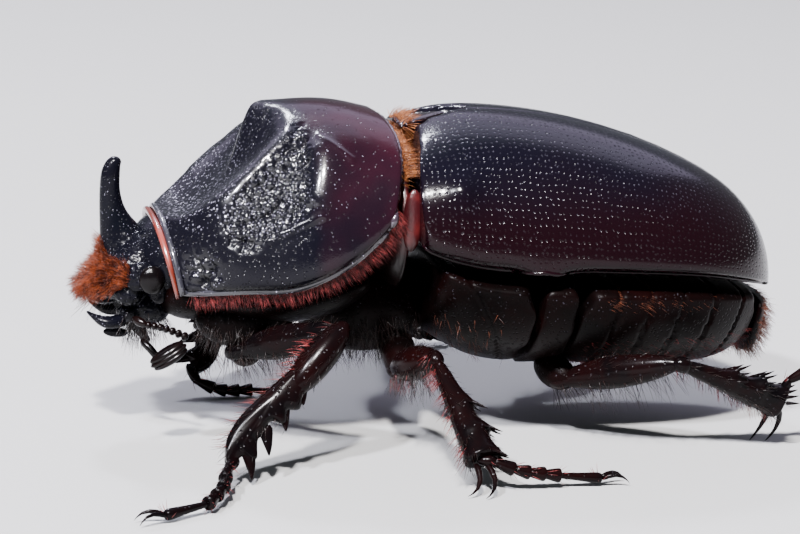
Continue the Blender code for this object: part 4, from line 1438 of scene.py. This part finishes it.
# %% Hair between the legs
chest = bpy.data.objects["metathorax_plate"]
chest_hair = scatter(chest, 260, lambda p, normal: abs(p.y) > 2.0 and p.z < 8.5 and p.x < 6.0, 71)
chest_hair = comb(chest_hair, (0.6, 0, -1.0), (0.0, 0, -0.1), 0.6, 72, 0.25, 0.25, 0.4)
hair("chest_hair", chest_hair, brown_hair, 73, 0.024)
for word, side in SIDES:
    base = bpy.data.objects["fore_base_" + word]
    base_hair = scatter(base, 420, lambda p, normal: p.z < 7.4 and p.y * side > 3.0, 77)
    base_hair = comb(base_hair, (-0.15, 0, -1.0), (0.0, 0, -0.1), 0.95, 78, 0.25, 0.25, 0.5)
    hair("fore_base_hair_" + word, base_hair, black_hair, 79, 0.028)
core_hair = scatter(chest_core, 1200, lambda p, normal: p.z < 7.5 and abs(p.y) > 1.0, 75)
core_hair = comb(core_hair, (0.1, 0, -1.0), (0.0, 0, -0.1), 1.1, 76, 0.25, 0.3, 0.5)
hair("core_hair", core_hair, black_hair, 77, 0.032)

# %% [markdown]
# ## Bristles of the mouth and the legs
#
# Bristles are stiffer and darker than hair. They fan out below the mouth and stand along the
# thighs and shins. Shorter red ones ring the joints of the feet and line the inner shins.

# %% Bristles below the mouth
def chin_way(p):
    return Vector((0.5 * (p.x + 14.3), 0.35 * p.y, -1.6))


chin = scatter(mouth, 230, lambda p, normal: normal.z < 0.1, 81)
chin += scatter(head, 120, lambda p, normal: p.z < 8.0 and p.x < -13.6 and normal.z < 0, 82)
chin = comb(chin, chin_way, (0, 0, -0.1), 1.35, 83, 0.16, 0.15)
hair("chin_bristles", chin, black_hair, 84, 0.035)

# %% Bristles of the legs
DOWN = Vector((0, 0, -1))
STRAIGHT = Vector((0, 0, 0))
for leg in LEGS:
    start, end, axis, out, side = leg_frame(leg)
    thigh_start, knee = Vector(LEGS[leg][0]), Vector(LEGS[leg][1])

    def leg_map(point, root=thigh_start, tip=end):
        p = (point - ORIGIN) / MM - root
        line = tip - root
        return 0.5 * p.dot(line) / line.length_squared + 0.25, 0.5 + atan2(p.y - line.y * 0.5, p.z) / (2 * pi)

    thigh = bpy.data.objects[leg + "_thigh"]
    shin = bpy.data.objects[leg + "_shin"]
    line = (knee - thigh_start).normalized()
    under = scatter(thigh, 200 if leg.startswith("fore") else 130, lambda p, n: n.z < -0.2, 91)
    rows = comb(under, line * 0.45 + DOWN * 0.7, DOWN * 0.1, 1.6, 92, 0.20, 0.5, 0.4)
    rows += comb(scatter(thigh, 90, lambda p, n: n.z > 0.3, 93), line, STRAIGHT, 0.7, 94, 0.2, 0.35)
    rows += comb(scatter(shin, 190, lambda p, n: n.dot(out) < -0.3, 95), axis, STRAIGHT, 0.85, 96, 0.2, 0.5)
    rows += comb(scatter(shin, 110, lambda p, n: n.dot(out) > 0.2, 97), axis, STRAIGHT, 0.6, 98, 0.2, 0.45)
    hair(leg + "_bristles", rows, black_hair, 101, 0.036, leg_map)
    dice = random.Random(102)
    rows = []
    for share in (0.0, 0.19, 0.33, 0.47, 0.62, 0.97):
        joint = at(*path_point(LEGS[leg][3], share))
        ahead = at(*path_point(LEGS[leg][3], min(share + 0.05, 1.0)))
        way = (ahead - joint).normalized() if share < 0.9 else -DOWN
        for k in range(9):
            turn = Vector((dice.gauss(0, 1), dice.gauss(0, 1), dice.gauss(0.4, 0.7))).normalized()
            heading = (way * 0.9 + turn * 0.7).normalized()
            rows.append((joint + turn * (0.28 * MM), heading, STRAIGHT, 0.45 + 0.3 * dice.random()))
    inner = scatter(shin, 70, lambda p, n: n.dot(out) < -0.75, 103)
    rows += comb(inner, axis * 0.6 - out * 0.8, axis * 0.2, 0.95, 104, 0.15, 0.2)
    if leg.startswith("mid"):
        under = scatter(thigh, 26, lambda p, n: n.z < -0.5, 105)
        rows += comb(under, DOWN, DOWN * 0.1, 1.2, 106, 0.12, 0.2, 0.4)
    hair(leg + "_spinules", rows, red_hair, 105, 0.040, leg_map)

# %% [markdown]
# ## The floor, the light and the camera
#
# Black gloss shows only what surrounds it, so the light is part of the look. Two large, cool
# panels high behind the animal give the blue-grey sheen along its back. Three small, strong
# ones make the sparkle, and each stands where the shell mirrors it toward the camera: the key
# high on the camera's side, the glint panel behind for the hollow, and the front panel for
# the facet. Small panels give small, sharp lights.

# %% Floor and surroundings
clear()
bpy.ops.mesh.primitive_plane_add(size=6, location=(0, 0, 0))
floor = bpy.context.object
floor.name = "floor"
paper = Look("studio_paper", (0.28, 0.28, 0.28), 0.65)
paper.bump(paper.noise(1.2, 4.0), 0.01)
floor.data.materials.append(paper.material)

world = bpy.data.worlds.new("studio")
bpy.context.scene.world = world
world.use_nodes = True
air = world.node_tree.nodes["Background"]
air.inputs["Color"].default_value = (0.80, 0.86, 0.95, 1)
air.inputs["Strength"].default_value = 0.25
print("floor and surroundings made")


# %% Lights
def panel(name, place, target, size, power, colour):
    """A lamp as a lit rectangle; place and target in millimetres, size in metres, power in watts."""
    light = bpy.data.lights.new(name, "AREA")
    light.shape = "RECTANGLE"
    light.size, light.size_y = size
    light.energy = power
    light.color = colour
    lamp = bpy.data.objects.new(name, light)
    bpy.context.scene.collection.objects.link(lamp)
    lamp.location = at(*place)
    lamp.rotation_euler = (at(*target) - lamp.location).to_track_quat("-Z", "Y").to_euler()


panel("sky_panel", (45, 590, 600), (4, 0, 12), (1.3, 0.55), 3.5, (0.80, 0.70, 1.0))
panel("top_panel", (0, 520, 860), (4, 0, 10), (1.5, 0.5), 1.4, (0.80, 0.86, 1.0))
panel("key_panel", (-190, -470, 700), (-2, 0, 12), (0.060, 0.060), 38.0, (1.0, 0.97, 0.97))
panel("glint_panel", (-66, 541, 629), (-8, 0, 14), (0.08, 0.08), 7.0, (0.86, 0.88, 1.0))
panel("front_panel", (-457, -430, 672), (-7, -7, 15), (0.052, 0.052), 31.0, (0.92, 0.92, 1.0))
print("lights made:", len(bpy.data.lights))

# %% Camera
TARGET = (1.6, 0, 9.5)     # the place that the camera looks at, in millimetres
DISTANCE = 142             # from the camera to it, in millimetres
turn, tilt, roll = radians(13.8), radians(12.0), radians(2.0)
ahead = Vector((sin(turn) * cos(tilt), cos(turn) * cos(tilt), -sin(tilt)))
right = Vector((cos(turn), -sin(turn), 0))
up = right.cross(ahead)
right, up = right * cos(roll) + up * sin(roll), up * cos(roll) - right * sin(roll)
lens = bpy.data.cameras.new("camera")
lens.lens = 104.31
lens.sensor_width = 36.0
lens.clip_start = 0.001
lens.clip_end = 10.0
camera = bpy.data.objects.new("camera", lens)
bpy.context.scene.collection.objects.link(camera)
spot = at(*TARGET) - ahead * DISTANCE * MM
camera.matrix_world = Matrix(((right.x, up.x, -ahead.x, spot.x), (right.y, up.y, -ahead.y, spot.y),
                              (right.z, up.z, -ahead.z, spot.z), (0, 0, 0, 1)))
bpy.context.scene.camera = camera
print("camera at", tuple(round(v, 4) for v in spot))

# %% [markdown]
# ## Count the triangles
#
# The triangles of every piece but the floor are counted and printed. The fine pieces must
# not make the animal larger than its frame.

# %% Count the triangles
triangles = sum(len(p.vertices) - 2 for o in bpy.context.scene.objects if o.type == "MESH"
                and not o.name.startswith("floor") for p in o.data.polygons)
print("triangles:", triangles)
